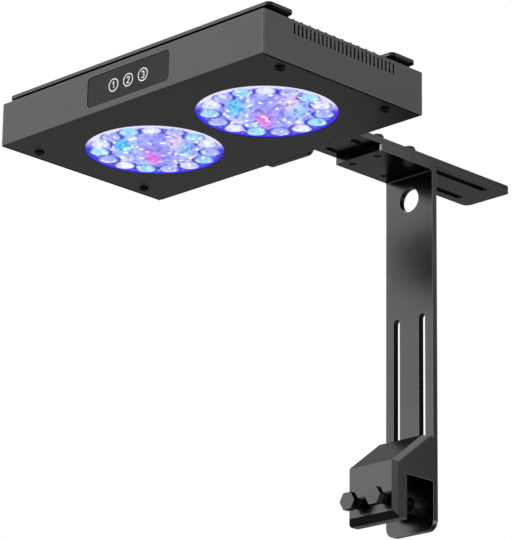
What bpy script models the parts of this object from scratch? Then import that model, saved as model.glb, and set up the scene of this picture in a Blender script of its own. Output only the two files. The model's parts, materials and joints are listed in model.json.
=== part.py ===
"""Clamp-on aquarium light: a slim LED head with a finned top, carried by a slotted arm and
a slotted post, with a screw clamp that grips the wall of a tank.

Sizes are in metres. The origin is the middle of the clamp's seat on the tank rim.
X runs along the lamp, +Y from the lamp towards the post, and +Z up.
"""
import math

import bmesh
import bpy
from mathutils import Matrix, Vector

# Clearances
SEAT_GAP = 0.0003          # between faces that rest on each other
SCREW_GAP = 0.0003         # around a screw in its own hole
SLOT_PLAY = 0.0004         # each side of a screw in a slot
WINDOW_PLAY = 0.0003       # around a lens plate in its window
CUT_OVERRUN = 0.001        # how far a cutter passes the faces that it cuts
WELD_DISTANCE = 0.000001
FLAT_ANGLE = math.radians(0.1)   # faces that bend less than this are one face

# Clamp on the tank wall
CLAMP_WIDTH = 0.0384
CLAMP_HEAD = 0.0268        # height of the block above the rim seat
CLAMP_TOP_DEPTH = 0.0080   # flat top in front of the post
CLAMP_CHAMFER = 0.0028
JAW_GAP = 0.0235           # from the jaw to the post
JAW_THICKNESS = 0.0100
JAW_DROP = 0.0267          # depth of the jaw below the rim seat
JAW_SHOULDER = 0.0073      # height at which the sloped front begins
JAW_FOOT_CHAMFER = 0.0040

# Clamp bolts and their swivel pads
BOLT_DIAMETER = 0.0060
BOLT_LENGTH = 0.0300
BOLT_SPACING = 0.0200
BOLT_DROP = 0.0146         # bolt axis below the rim seat
BOLT_STAND_OFF = 0.0053    # jaw face to the underside of the head, as drawn
BOLT_HEAD_FLATS = 0.0100
BOLT_HEAD_HEIGHT = 0.0040
BOLT_TIP_CHAMFER = 0.0008
PAD_DIAMETER = 0.0095
PAD_SOCKET_DEPTH = 0.0040
PAD_FACE = 0.0025          # thickness of the pad in front of its socket

# Post with its flange
POST_WIDTH = 0.0370
POST_THICKNESS = 0.0040
POST_HEIGHT = 0.2246
POST_FOOT = 0.0283         # post below the rim seat
POST_FOOT_RADIUS = 0.0060
POST_BEND_RADIUS = 0.0010
FLANGE_DEPTH = 0.0495
FLANGE_CORNER_RADIUS = 0.0020
POST_SLOT_SPACING = 0.0200
POST_SLOT_LENGTH = 0.0932
CABLE_HOLE_DIAMETER = 0.0150
CABLE_HOLE_DROP = 0.0190   # hole centre below the flange top

# Arm between the post and the lamp
ARM_WIDTH = 0.0364
ARM_THICKNESS = 0.0040
ARM_LENGTH = 0.1792
ARM_TAIL = 0.0695          # arm behind the post, as drawn
ARM_LEG_HEIGHT = 0.0263
ARM_BEND_RADIUS = 0.0010
ARM_CORNER_RADIUS = 0.0040
ARM_SLOT_SPACING = 0.0200
ARM_SLOT_LENGTH = 0.1208
ARM_SLOT_INSET = 0.0143    # from the arm's tail end to the slots
LEG_SCREW_SPACING_X = 0.0200
LEG_SCREW_SPACING_Z = 0.0110
LEG_SCREW_RISE = 0.0115    # middle of the leg's screws above its foot
NUT_PLATE_WIDTH = 0.0320
NUT_PLATE_HEIGHT = 0.0190
NUT_PLATE_THICKNESS = 0.0030

# Screws
LOCK_SCREW_DIAMETER = 0.0040
LOCK_SCREW_HEAD = 0.0078
LOCK_SCREW_HEAD_HEIGHT = 0.0038
LOW_HEAD_HEIGHT = 0.0030      # same screws with lower heads, on the leg and the clamp
LOCK_SCREW_SPACING = 0.0280
LOCK_SCREW_SETBACK = 0.0110   # rear pair to the front of the post
SLIDE_SCREW_DEPTH = 0.0100    # thread inside the clamp block
WASHER_DIAMETER = 0.0096
WASHER_THICKNESS = 0.0008
SMALL_SCREW_DIAMETER = 0.0030
SMALL_SCREW_HEAD = 0.0056
SMALL_SCREW_HEAD_HEIGHT = 0.0013
SCREW_TIP_CHAMFER = 0.0005
HEAD_CROWN = ((0.6, 1.0), (0.9, 0.8), (1.0, 0.5))   # shares of the head's radius and height

# Lamp housing
LAMP_LENGTH = 0.2100
LAMP_DEPTH = 0.1260
LAMP_HEIGHT = 0.0257
SHEET = 0.0012
SHEET_BEND_RADIUS = 0.0002    # inside of the folds
SHEET_FOLD_RADIUS = 0.0005    # outside, sharp because the sheet is grooved before it is folded
WINDOW_BORDER = 0.0230        # mean of the sheet in front of a window and behind it
WINDOW_GAP = 0.0100           # sheet between the two windows
WINDOW_OFFSET = 0.0010        # window centres behind the lamp's middle
BOTTOM_SCREW_INSET_X = 0.0086
BOTTOM_SCREW_INSET_Y = 0.0215
TAB_DEPTH = 0.0140            # end panel's tabs under the spacer posts
TAB_WIDTH = 0.0160
TAB_ROOT = 0.0004             # how far a tab runs into the panel that it is folded from

# Vent slots in the end panels
VENT_COUNT = 26
VENT_PITCH = 0.00315
VENT_WIDTH = 0.0015
VENT_HEIGHT = 0.0065
VENT_DROP = 0.0017            # below the top edge

# Heat sink
SINK_BASE_RISE = 0.0089       # underside of the base above the lamp's bottom
SINK_BASE_THICKNESS = 0.0040
SINK_BASE_SETBACK = 0.0050    # from the lamp's front and rear
SINK_THREAD_DEPTH = 0.0030    # bottom screws in the base
FIN_COUNT = 13
FIN_MARGIN = 0.0040           # neck to the middle of the nearest fin
FIN_THICKNESS = 0.0014
FIN_TOP = 0.0272              # above the lamp's bottom
RAIL_INSET = 0.0042
RAIL_WIDTH = 0.0198
RAIL_END_SETBACK = 0.0006     # rail ends from the lamp's ends
RAIL_THICKNESS = 0.0022
RAIL_TOP = 0.0316             # above the lamp's bottom
RAIL_CORNER_RADIUS = 0.0030
NECK_INSET = 0.0086           # hollow neck under a rail, from the lamp's front or rear
NECK_WIDTH = 0.0120
NECK_WALL = 0.0020

# Light engines
LENS_MARGIN = 0.0027          # outer lenses to the window's edge
LENS_SPACING = 0.0012         # between neighbours, along the outer ring
RING_SPACING = 0.0024         # between the two rings of lenses
LENS_SAG = 0.0008
LENS_ROOT = 0.0005            # how far a lens runs into its plate
OUTER_LENSES = 15
OUTER_RING_PHASE = math.radians(2.7)
INNER_LENSES = 8
INNER_RING_PHASE = math.radians(5.0)
LENS_PLATE_RISE = 0.0002      # underside of the lens plate above the lamp's bottom
LENS_PLATE_THICKNESS = 0.0033
LENS_FLANGE_WIDTH = 0.0044
LENS_SKIRT_WALL = 0.0020
GASKET_WIDTH = 0.0032
GASKET_THICKNESS = 0.0008
BOARD_THICKNESS = 0.0016
EMITTER_SIZE = 0.0034
EMITTER_HEIGHT = 0.0009
SOLDER_ROOT = 0.0002          # how far a component runs into its board
SPACER_DIAMETER = 0.0060

# Controls, driver and power inlet
OVERLAY_WIDTH = 0.0660
OVERLAY_HEIGHT = 0.0184
OVERLAY_RISE = 0.0131         # overlay centre above the lamp's bottom
OVERLAY_RADIUS = 0.0030
OVERLAY_THICKNESS = 0.0009
OVERLAY_PLAY = 0.0002
CONTROL_BOARD_MARGIN = 0.0015
DRIVER_BOARD_LENGTH = 0.1400
DRIVER_BOARD_WIDTH = 0.0100
COIL_COUNT = 5
COIL_PITCH = 0.0280
COIL_SIZE = 0.0070
COIL_HEIGHT = 0.0040
INLET_OFFSET = 0.0600         # inlet axis to the left of the lamp's middle
INLET_RISE = 0.0190
INLET_BODY_DIAMETER = 0.0080
INLET_BODY_LENGTH = 0.0050    # behind the rear wall
INLET_NUT_DIAMETER = 0.0110
INLET_NUT_THICKNESS = 0.0022
INLET_BORE_DIAMETER = 0.0056
INLET_PIN_DIAMETER = 0.0020
INLET_PIN_SETBACK = 0.0010    # pin tip below the inlet's face
INLET_FLOOR = 0.0015          # closed end of the inlet behind its bore

# Facets and shading
ROUND_STEPS = 16
SCREW_STEPS = 12
WINDOW_STEPS = 48
LENS_STEPS = 12
LENS_RINGS = 2
CORNER_STEPS = 4
SHARP_ANGLE = math.radians(35)
CARRIER_SIZE = 0.01

# Places that the driving sizes give
jaw_inner_y = -JAW_GAP / 2
jaw_outer_y = jaw_inner_y - JAW_THICKNESS
post_front_y = JAW_GAP / 2
post_rear_y = post_front_y + POST_THICKNESS
flange_top_z = POST_HEIGHT - POST_FOOT
flange_under_z = flange_top_z - POST_THICKNESS
flange_front_y = post_rear_y - FLANGE_DEPTH
arm_under_z = flange_top_z + SEAT_GAP
arm_top_z = arm_under_z + ARM_THICKNESS
arm_tail_y = post_rear_y + ARM_TAIL
leg_front_y = arm_tail_y - ARM_LENGTH
leg_rear_y = leg_front_y + ARM_THICKNESS
lamp_rear_y = leg_front_y - SEAT_GAP
lamp_front_y = lamp_rear_y - LAMP_DEPTH
lamp_mid_y = (lamp_front_y + lamp_rear_y) / 2
lamp_bottom_z = arm_top_z - ARM_LEG_HEIGHT
lamp_top_z = lamp_bottom_z + LAMP_HEIGHT
lamp_end_x = LAMP_LENGTH / 2
slide_screw_z = CLAMP_HEAD / 2
slot_width = LOCK_SCREW_DIAMETER + 2 * SLOT_PLAY
window_radius = LAMP_DEPTH / 2 - WINDOW_BORDER
window_spacing = 2 * window_radius + WINDOW_GAP
window_y = lamp_mid_y + WINDOW_OFFSET
lens_room = window_radius - LENS_MARGIN + LENS_SPACING / 2
outer_ring_radius = lens_room / (1 + math.pi / OUTER_LENSES)
lens_diameter = 2 * math.pi * outer_ring_radius / OUTER_LENSES - LENS_SPACING
inner_ring_radius = outer_ring_radius - lens_diameter - RING_SPACING
sheet_top_z = lamp_bottom_z + SHEET
tab_under_z = sheet_top_z + SEAT_GAP
tab_top_z = tab_under_z + SHEET
sink_under_z = lamp_bottom_z + SINK_BASE_RISE
sink_base_top_z = sink_under_z + SINK_BASE_THICKNESS
rail_top_z = lamp_bottom_z + RAIL_TOP
rail_under_z = rail_top_z - RAIL_THICKNESS
board_top_z = sink_under_z - SEAT_GAP
board_under_z = board_top_z - BOARD_THICKNESS
lens_plate_z = lamp_bottom_z + LENS_PLATE_RISE
lens_inside_z = lens_plate_z + LENS_PLATE_THICKNESS
lens_boss_radius = window_radius - WINDOW_PLAY
lens_flange_radius = window_radius + LENS_FLANGE_WIDTH
gasket_under_z = sheet_top_z + SEAT_GAP
gasket_top_z = gasket_under_z + GASKET_THICKNESS

SATIN_BLACK = ((0.030, 0.030, 0.032), 0.42, 0.60)
BLACK_OXIDE = ((0.022, 0.022, 0.024), 0.35, 0.85)
ANODISED = ((0.040, 0.040, 0.043), 0.45, 0.80)
CLEAR_LENS = ((0.620, 0.720, 1.000), 0.08, 0.00)
RUBBER = ((0.015, 0.015, 0.015), 0.75, 0.00)
BOARD_WHITE = ((0.780, 0.800, 0.820), 0.50, 0.00)
BOARD_GREEN = ((0.030, 0.160, 0.070), 0.50, 0.00)
OVERLAY_FILM = ((0.045, 0.045, 0.047), 0.30, 0.00)
ZINC = ((0.550, 0.560, 0.570), 0.30, 1.00)

PLANE_TURN = {
    "XY": (0, 0, 0),
    "XZ": (math.pi / 2, 0, 0),
    "YZ": (math.pi / 2, 0, math.pi / 2),
}
PLANE_NORMAL = {"XY": (0, 0, 1), "XZ": (0, 1, 0), "YZ": (1, 0, 0)}
HEAD_DOWN = Matrix.Rotation(math.pi, 4, "X")
HEAD_TO_REAR = Matrix.Rotation(-math.pi / 2, 4, "X")


def make_collection(name):
    """A collection of the scene, found or made."""
    found = bpy.data.collections.get(name) or bpy.data.collections.new(name)
    if name not in bpy.context.scene.collection.children:
        bpy.context.scene.collection.children.link(found)
    return found


for leftover in list(bpy.data.objects):
    bpy.data.objects.remove(leftover, do_unlink=True)
parts = make_collection("aquarium_light")
cutters = make_collection("aquarium_light_cutters")


def make_material(name, finish):
    """A Principled material of the given colour, roughness and metallic value."""
    colour, roughness, metallic = finish
    material = bpy.data.materials.get(name) or bpy.data.materials.new(name)
    material.use_nodes = True
    shader = material.node_tree.nodes["Principled BSDF"]
    shader.inputs["Base Color"].default_value = (*colour, 1)
    shader.inputs["Roughness"].default_value = roughness
    shader.inputs["Metallic"].default_value = metallic
    return material


def make_carrier(name, place, carrier=None):
    """An empty that carries the pieces of one moving group."""
    empty = bpy.data.objects.new(name, None)
    parts.objects.link(empty)
    empty.location = place
    empty.empty_display_size = CARRIER_SIZE
    if carrier is not None:
        ride(empty, carrier)
    return empty


def ride(item, carrier):
    """Parent an item to its carrier, leaving it where it is."""
    place = Matrix.Identity(4)
    above = carrier
    chain = []
    while above is not None:
        chain.append(above)
        above = above.parent
    for link in reversed(chain):
        place = place @ link.matrix_parent_inverse @ link.matrix_basis
    item.parent = carrier
    item.matrix_parent_inverse = place.inverted()


def finish_mesh(mesh, name, finish, smooth):
    """Give a mesh its material and its shading."""
    mesh.materials.clear()
    mesh.materials.append(make_material(name, finish))
    if smooth:
        mesh.shade_smooth()
        mesh.set_sharp_from_angle(angle=SHARP_ANGLE)
    else:
        mesh.shade_flat()


def finish_part(item, carrier, finish, smooth=False):
    """Give a finished piece its material, its shading and its carrier."""
    finish_mesh(item.data, item.name, finish, smooth)
    ride(item, carrier)


def add_copies(name, mesh, places, carrier, finish, smooth=True):
    """One numbered object at each place, all showing the same mesh."""
    finish_mesh(mesh, name, finish, smooth)
    for number, place in enumerate(places, 1):
        item = add_mesh(f"{name}_{number}", mesh)
        item.location = place
        ride(item, carrier)


def as_tool(item):
    """Turn an object into a hidden tool that only shapes others."""
    parts.objects.unlink(item)
    cutters.objects.link(item)
    item.hide_render = True
    item.display_type = "WIRE"
    return item


def combine(item, tool, operation):
    """Cut, join or trim an item with a tool."""
    modifier = item.modifiers.new(tool.name, "BOOLEAN")
    modifier.operation = operation
    modifier.solver = "EXACT"
    modifier.object = as_tool(tool)


def rounded(corners, steps=CORNER_STEPS):
    """Outline through corners (u, v, radius), each rounded by an arc of its radius."""
    outline = []
    for index, (u, v, radius) in enumerate(corners):
        corner = Vector((u, v))
        if radius == 0:
            outline.append(corner)
            continue
        back = (Vector(corners[index - 1][:2]) - corner).normalized()
        ahead = (Vector(corners[(index + 1) % len(corners)][:2]) - corner).normalized()
        half_angle = back.angle(ahead) / 2
        centre = corner + (back + ahead).normalized() * radius / math.sin(half_angle)
        start = corner + back * radius / math.tan(half_angle) - centre
        end = corner + ahead * radius / math.tan(half_angle) - centre
        turn = math.atan2(start.x * end.y - start.y * end.x, start.dot(end))
        for step in range(steps + 1):
            outline.append(centre + Matrix.Rotation(turn * step / steps, 2) @ start)
    return outline


def rectangle(u, v, width, height, radius=0):
    """Rectangle round the centre (u, v), with rounded corners where a radius is given."""
    sides = ((-1, -1), (1, -1), (1, 1), (-1, 1))
    return rounded([(u + a * width / 2, v + b * height / 2, radius) for a, b in sides])


def circle(u, v, radius, steps=ROUND_STEPS):
    """Round outline about (u, v)."""
    angles = [2 * math.pi * step / steps for step in range(steps)]
    return [(u + radius * math.cos(angle), v + radius * math.sin(angle)) for angle in angles]


def slot(u, low_v, high_v, width):
    """Round-ended slot along v, between its two ends."""
    half = width / 2
    corners = [(u - half, low_v, half), (u + half, low_v, half),
               (u + half, high_v, half), (u - half, high_v, half)]
    return rounded(corners)


def prism(name, loops, plane, low, high):
    """Solid of flat loops (outlines and holes in them) from low to high, square to their plane."""
    curve = bpy.data.curves.new(name, "CURVE")
    curve.dimensions = "2D"
    curve.fill_mode = "BOTH"
    curve.extrude = abs(high - low) / 2
    for loop in loops:
        spline = curve.splines.new("POLY")
        spline.points.add(len(loop) - 1)
        spline.use_cyclic_u = True
        for point, (u, v) in zip(spline.points, loop):
            point.co = (u, v, 0, 1)
    outline = bpy.data.objects.new(name, curve)
    parts.objects.link(outline)
    seen = outline.evaluated_get(bpy.context.evaluated_depsgraph_get())
    mesh = bpy.data.meshes.new_from_object(seen)
    bpy.data.objects.remove(outline, do_unlink=True)
    bpy.data.curves.remove(curve)
    weld(mesh, len(loops) == 1)
    mesh.shade_flat()
    item = add_mesh(name, mesh)
    item.rotation_euler = PLANE_TURN[plane]
    item.location = Vector(PLANE_NORMAL[plane]) * (low + high) / 2
    return item


def weld(mesh, flat_faces=False):
    """Join a mesh's loose edges, with its flat stretches as single faces where asked."""
    shape = bmesh.new()
    shape.from_mesh(mesh)
    bmesh.ops.remove_doubles(shape, verts=shape.verts, dist=WELD_DISTANCE)
    if flat_faces:
        bmesh.ops.dissolve_limit(shape, angle_limit=FLAT_ANGLE, verts=shape.verts,
                                 edges=shape.edges)
    bmesh.ops.recalc_face_normals(shape, faces=shape.faces)
    shape.to_mesh(mesh)
    shape.free()


def add_mesh(name, mesh):
    """An object among the parts that shows the given mesh."""
    mesh.name = name
    item = bpy.data.objects.new(name, mesh)
    parts.objects.link(item)
    return item


def turned_mesh(profile, steps=ROUND_STEPS):
    """Mesh of a profile (radius, height), top to bottom, turned about the Z axis."""
    mesh = bpy.data.meshes.new("profile")
    points = [(radius, 0, height) for radius, height in profile]
    edges = [(index, index + 1) for index in range(len(points) - 1)]
    if profile[0][0] > 0:
        edges.append((len(points) - 1, 0))
    mesh.from_pydata(points, edges, [])
    item = add_mesh("profile", mesh)
    screw = item.modifiers.new("turn", "SCREW")
    screw.steps = steps
    screw.render_steps = steps
    screw.use_merge_vertices = True
    screw.merge_threshold = WELD_DISTANCE
    seen = item.evaluated_get(bpy.context.evaluated_depsgraph_get())
    turned = bpy.data.meshes.new_from_object(seen)
    bpy.data.objects.remove(item, do_unlink=True)
    weld(turned)
    return turned


def screw_mesh(diameter, length, head, head_height, turn=None):
    """Round-headed screw along Z with the underside of its head at the origin."""
    head_radius = head / 2
    radius = diameter / 2
    profile = [
        (0, head_height),
        *((head_radius * out, head_height * up) for out, up in HEAD_CROWN),
        (head_radius, 0),
        (radius, 0),
        (radius, SCREW_TIP_CHAMFER - length),
        (radius - SCREW_TIP_CHAMFER, -length),
        (0, -length),
    ]
    mesh = turned_mesh(profile, SCREW_STEPS)
    if turn is not None:
        mesh.transform(turn)
    return mesh


def ring_mesh(outer, inner, low, high, steps=SCREW_STEPS, turn=None):
    """Flat ring or short tube about the Z axis."""
    mesh = turned_mesh([(outer, high), (outer, low), (inner, low), (inner, high)], steps)
    if turn is not None:
        mesh.transform(turn)
    return mesh


def box_mesh(width, depth, height):
    """Box about the origin."""
    shape = bmesh.new()
    bmesh.ops.create_cube(shape, size=1, matrix=Matrix.Diagonal((width, depth, height, 1)))
    mesh = bpy.data.meshes.new("box")
    shape.to_mesh(mesh)
    shape.free()
    return mesh


def tool_group(name, mesh, places):
    """One tool that holds a copy of a mesh at each place."""
    middle = sum((Vector(place) for place in places), Vector()) / len(places)
    joined = bmesh.new()
    for place in places:
        first = len(joined.verts)
        joined.from_mesh(mesh)
        joined.verts.ensure_lookup_table()
        bmesh.ops.translate(joined, verts=joined.verts[first:], vec=Vector(place) - middle)
    result = bpy.data.meshes.new(name)
    joined.to_mesh(result)
    joined.free()
    bpy.data.meshes.remove(mesh)
    item = add_mesh(name, result)
    item.location = middle
    return item


def round_edges(item, chosen, radius, steps):
    """Round (or with one step, chamfer) the edges whose end points are chosen."""
    shape = bmesh.new()
    shape.from_mesh(item.data)
    place = item.matrix_basis
    edges = [edge for edge in shape.edges
             if chosen(place @ edge.verts[0].co, place @ edge.verts[1].co)]
    bmesh.ops.bevel(shape, geom=edges, offset=radius, offset_type="OFFSET", segments=steps,
                    profile=0.5, affect="EDGES")
    shape.to_mesh(item.data)
    shape.free()


def near(a, b):
    """Whether two lengths are the same, within what a mesh holds."""
    return abs(a - b) < 10 * WELD_DISTANCE


def pair(spacing):
    """The two offsets of a pair about the middle."""
    return (-spacing / 2, spacing / 2)


# Clamp, bolts and pads


def clamp_block(carrier):
    """Block whose head is screwed to the post and whose jaw hangs in front of it."""
    back_y = post_front_y - SEAT_GAP
    ridge_y = post_front_y - CLAMP_TOP_DEPTH
    outline = [(back_y, 0), (back_y, CLAMP_HEAD), (ridge_y, CLAMP_HEAD),
               (jaw_outer_y, JAW_SHOULDER), (jaw_outer_y, JAW_FOOT_CHAMFER - JAW_DROP),
               (jaw_outer_y + JAW_FOOT_CHAMFER, -JAW_DROP),
               (jaw_inner_y, -JAW_DROP), (jaw_inner_y, 0)]
    block = prism("clamp_block", [outline], "YZ", *pair(CLAMP_WIDTH))

    def on_front(point):
        return near(point.y, jaw_outer_y) or near(point.y, ridge_y)

    round_edges(block, lambda a, b: near(a.x, b.x) and on_front(a) and on_front(b), CLAMP_CHAMFER, 1)
    bolt_holes = [circle(x, -BOLT_DROP, BOLT_DIAMETER / 2 + SCREW_GAP) for x in pair(BOLT_SPACING)]
    combine(block, prism("clamp_bolt_holes", bolt_holes, "XZ", jaw_outer_y - CUT_OVERRUN,
                         jaw_inner_y + CUT_OVERRUN), "DIFFERENCE")
    hole_radius = LOCK_SCREW_DIAMETER / 2 + SCREW_GAP
    screw_holes = [circle(x, slide_screw_z, hole_radius) for x in pair(POST_SLOT_SPACING)]
    hole_end_y = back_y - SLIDE_SCREW_DEPTH - CUT_OVERRUN
    combine(block, prism("clamp_screw_holes", screw_holes, "XZ", hole_end_y,
                         back_y + CUT_OVERRUN), "DIFFERENCE")
    finish_part(block, carrier, SATIN_BLACK)


def clamp_slide_fasteners(carrier):
    """Screws and washers that hold the clamp block to the post through the post's slots."""
    washer_y = post_rear_y + SEAT_GAP
    head_y = washer_y + WASHER_THICKNESS + SEAT_GAP
    length = head_y - (post_front_y - SEAT_GAP - SLIDE_SCREW_DEPTH)
    screw = screw_mesh(LOCK_SCREW_DIAMETER, length, LOCK_SCREW_HEAD, LOW_HEAD_HEIGHT,
                       HEAD_TO_REAR)
    washer = ring_mesh(WASHER_DIAMETER / 2, LOCK_SCREW_DIAMETER / 2 + SCREW_GAP, 0,
                       WASHER_THICKNESS, turn=HEAD_TO_REAR)
    places = [(x, slide_screw_z) for x in pair(POST_SLOT_SPACING)]
    screw_places = [(x, head_y, z) for x, z in places]
    add_copies("clamp_slide_screw", screw, screw_places, carrier, BLACK_OXIDE)
    washer_places = [(x, washer_y, z) for x, z in places]
    add_copies("clamp_slide_washer", washer, washer_places, carrier, BLACK_OXIDE)


def clamp_bolt(side, x, carrier):
    """Hexagon bolt through the jaw, with a swivel pad on its tip."""
    head_y = jaw_outer_y - BOLT_STAND_OFF
    radius = BOLT_DIAMETER / 2
    shank = [(0, BOLT_LENGTH), (radius - BOLT_TIP_CHAMFER, BOLT_LENGTH),
             (radius, BOLT_LENGTH - BOLT_TIP_CHAMFER), (radius, -BOLT_HEAD_HEIGHT / 2),
             (0, -BOLT_HEAD_HEIGHT / 2)]
    bolt = add_mesh("clamp_bolt_" + side, turned_mesh(shank))
    corner_radius = BOLT_HEAD_FLATS / math.sqrt(3)
    hexagon = [(x + corner_radius * math.sin(turn * math.pi / 3),
                -BOLT_DROP + corner_radius * math.cos(turn * math.pi / 3)) for turn in range(6)]
    head = prism("bolt_head_" + side, [hexagon], "XZ", head_y - BOLT_HEAD_HEIGHT, head_y)
    combine(bolt, head, "UNION")
    bolt.rotation_euler = (-math.pi / 2, 0, 0)
    bolt.location = (x, head_y, -BOLT_DROP)
    finish_part(bolt, carrier, BLACK_OXIDE, smooth=True)

    socket_radius = radius + SCREW_GAP
    pad_radius = PAD_DIAMETER / 2
    length = PAD_SOCKET_DEPTH + PAD_FACE
    rim = (pad_radius + socket_radius) / 2
    cup = [(0, length), (rim, length), (pad_radius, length - (pad_radius - rim)),
           (pad_radius, 0), (socket_radius, 0), (socket_radius, PAD_SOCKET_DEPTH),
           (0, PAD_SOCKET_DEPTH)]
    pad = add_mesh("clamp_pad_" + side, turned_mesh(cup))
    pad.rotation_euler = (-math.pi / 2, 0, 0)
    pad.location = (x, head_y + BOLT_LENGTH + SEAT_GAP - PAD_SOCKET_DEPTH, -BOLT_DROP)
    finish_part(pad, carrier, RUBBER, smooth=True)


# Post and arm


def lock_screw_places():
    """X and Y of the screws that lock the arm on the flange."""
    rear_y = post_front_y - LOCK_SCREW_SETBACK
    return [(x, y) for x in pair(ARM_SLOT_SPACING) for y in (rear_y - LOCK_SCREW_SPACING, rear_y)]


def post_bracket(carrier):
    """Bent plate: an upright with two slots and a cable hole, and a flange for the arm."""
    outer_bend = POST_BEND_RADIUS + POST_THICKNESS
    outline = rounded([(post_front_y, -POST_FOOT, 0), (post_rear_y, -POST_FOOT, 0),
                       (post_rear_y, flange_top_z, outer_bend), (flange_front_y, flange_top_z, 0),
                       (flange_front_y, flange_under_z, 0),
                       (post_front_y, flange_under_z, POST_BEND_RADIUS)])
    post = prism("post_bracket", [outline], "YZ", *pair(POST_WIDTH))
    round_edges(post, lambda a, b: near(a.x, b.x) and near(a.z, -POST_FOOT)
                and near(b.z, -POST_FOOT), POST_FOOT_RADIUS, CORNER_STEPS)
    round_edges(post, lambda a, b: near(a.x, b.x) and near(a.y, flange_front_y)
                and near(b.y, flange_front_y), FLANGE_CORNER_RADIUS, CORNER_STEPS)
    slot_low_z = slide_screw_z - slot_width / 2
    openings = [slot(x, slot_low_z, slot_low_z + POST_SLOT_LENGTH, slot_width)
                for x in pair(POST_SLOT_SPACING)]
    openings.append(circle(0, flange_top_z - CABLE_HOLE_DROP, CABLE_HOLE_DIAMETER / 2,
                           2 * ROUND_STEPS))
    combine(post, prism("post_openings", openings, "XZ", post_front_y - CUT_OVERRUN,
                        post_rear_y + CUT_OVERRUN), "DIFFERENCE")
    hole_radius = LOCK_SCREW_DIAMETER / 2 + SCREW_GAP
    holes = [circle(x, y, hole_radius) for x, y in lock_screw_places()]
    combine(post, prism("flange_holes", holes, "XY", flange_under_z - CUT_OVERRUN,
                        flange_top_z + CUT_OVERRUN), "DIFFERENCE")
    finish_part(post, carrier, SATIN_BLACK)


def arm_lock_fasteners(carrier):
    """Screws and washers on the arm, threaded into the flange below it."""
    washer_z = arm_top_z + SEAT_GAP
    head_z = washer_z + WASHER_THICKNESS + SEAT_GAP
    length = head_z - flange_under_z - SCREW_TIP_CHAMFER
    screw = screw_mesh(LOCK_SCREW_DIAMETER, length, LOCK_SCREW_HEAD, LOCK_SCREW_HEAD_HEIGHT)
    washer = ring_mesh(WASHER_DIAMETER / 2, LOCK_SCREW_DIAMETER / 2 + SCREW_GAP, 0,
                       WASHER_THICKNESS)
    screw_places = [(x, y, head_z) for x, y in lock_screw_places()]
    add_copies("arm_lock_screw", screw, screw_places, carrier, BLACK_OXIDE)
    washer_places = [(x, y, washer_z) for x, y in lock_screw_places()]
    add_copies("arm_lock_washer", washer, washer_places, carrier, BLACK_OXIDE)


def leg_screw_places():
    """X and Z of the screws that hold the arm's leg to the lamp."""
    middle_z = lamp_bottom_z + LEG_SCREW_RISE
    return [(x, middle_z + z) for x in pair(LEG_SCREW_SPACING_X) for z in pair(LEG_SCREW_SPACING_Z)]


def leg_screw_holes():
    """Outlines of the holes for the leg's screws."""
    radius = LOCK_SCREW_DIAMETER / 2 + SCREW_GAP
    return [circle(x, z, radius) for x, z in leg_screw_places()]


def reach_arm(carrier):
    """Bent plate: a slotted bar that slides on the flange, with a leg down the lamp's rear."""
    outer_bend = ARM_BEND_RADIUS + ARM_THICKNESS
    outline = rounded([(arm_tail_y, arm_under_z, 0), (arm_tail_y, arm_top_z, 0),
                       (leg_front_y, arm_top_z, outer_bend), (leg_front_y, lamp_bottom_z, 0),
                       (leg_rear_y, lamp_bottom_z, 0), (leg_rear_y, arm_under_z, ARM_BEND_RADIUS)])
    arm = prism("reach_arm", [outline], "YZ", *pair(ARM_WIDTH))

    def free_corner(a, b):
        at_tail = near(a.y, arm_tail_y) and near(b.y, arm_tail_y)
        at_foot = near(a.z, lamp_bottom_z) and near(b.z, lamp_bottom_z)
        return near(a.x, b.x) and (at_tail or at_foot)

    round_edges(arm, free_corner, ARM_CORNER_RADIUS, CORNER_STEPS)
    slot_high_y = arm_tail_y - ARM_SLOT_INSET
    slots = [slot(x, slot_high_y - ARM_SLOT_LENGTH, slot_high_y, slot_width)
             for x in pair(ARM_SLOT_SPACING)]
    combine(arm, prism("arm_slots", slots, "XY", arm_under_z - CUT_OVERRUN,
                       arm_top_z + CUT_OVERRUN), "DIFFERENCE")
    combine(arm, prism("leg_holes", leg_screw_holes(), "XZ", leg_front_y - CUT_OVERRUN,
                       leg_rear_y + CUT_OVERRUN), "DIFFERENCE")
    finish_part(arm, carrier, SATIN_BLACK)


def leg_fasteners(carrier):
    """Screws through the leg and the lamp's rear wall into a plate behind it."""
    plate_rear_y = lamp_rear_y - SHEET - SEAT_GAP
    plate_front_y = plate_rear_y - NUT_PLATE_THICKNESS
    outline = rectangle(0, lamp_bottom_z + LEG_SCREW_RISE, NUT_PLATE_WIDTH, NUT_PLATE_HEIGHT)
    plate = prism("arm_nut_plate", [outline, *leg_screw_holes()], "XZ", plate_front_y, plate_rear_y)
    finish_part(plate, carrier, ZINC)
    head_y = leg_rear_y + SEAT_GAP
    screw = screw_mesh(LOCK_SCREW_DIAMETER, head_y - plate_front_y, LOCK_SCREW_HEAD,
                       LOW_HEAD_HEIGHT, HEAD_TO_REAR)
    places = [(x, head_y, z) for x, z in leg_screw_places()]
    add_copies("arm_leg_screw", screw, places, carrier, BLACK_OXIDE)


# Lamp housing


def bottom_screw_places():
    """X and Y of the screws in the lamp's bottom."""
    x_offsets = pair(LAMP_LENGTH - 2 * BOTTOM_SCREW_INSET_X)
    y_offsets = pair(LAMP_DEPTH - 2 * BOTTOM_SCREW_INSET_Y)
    return [(x, lamp_mid_y + y) for x in x_offsets for y in y_offsets]


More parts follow.
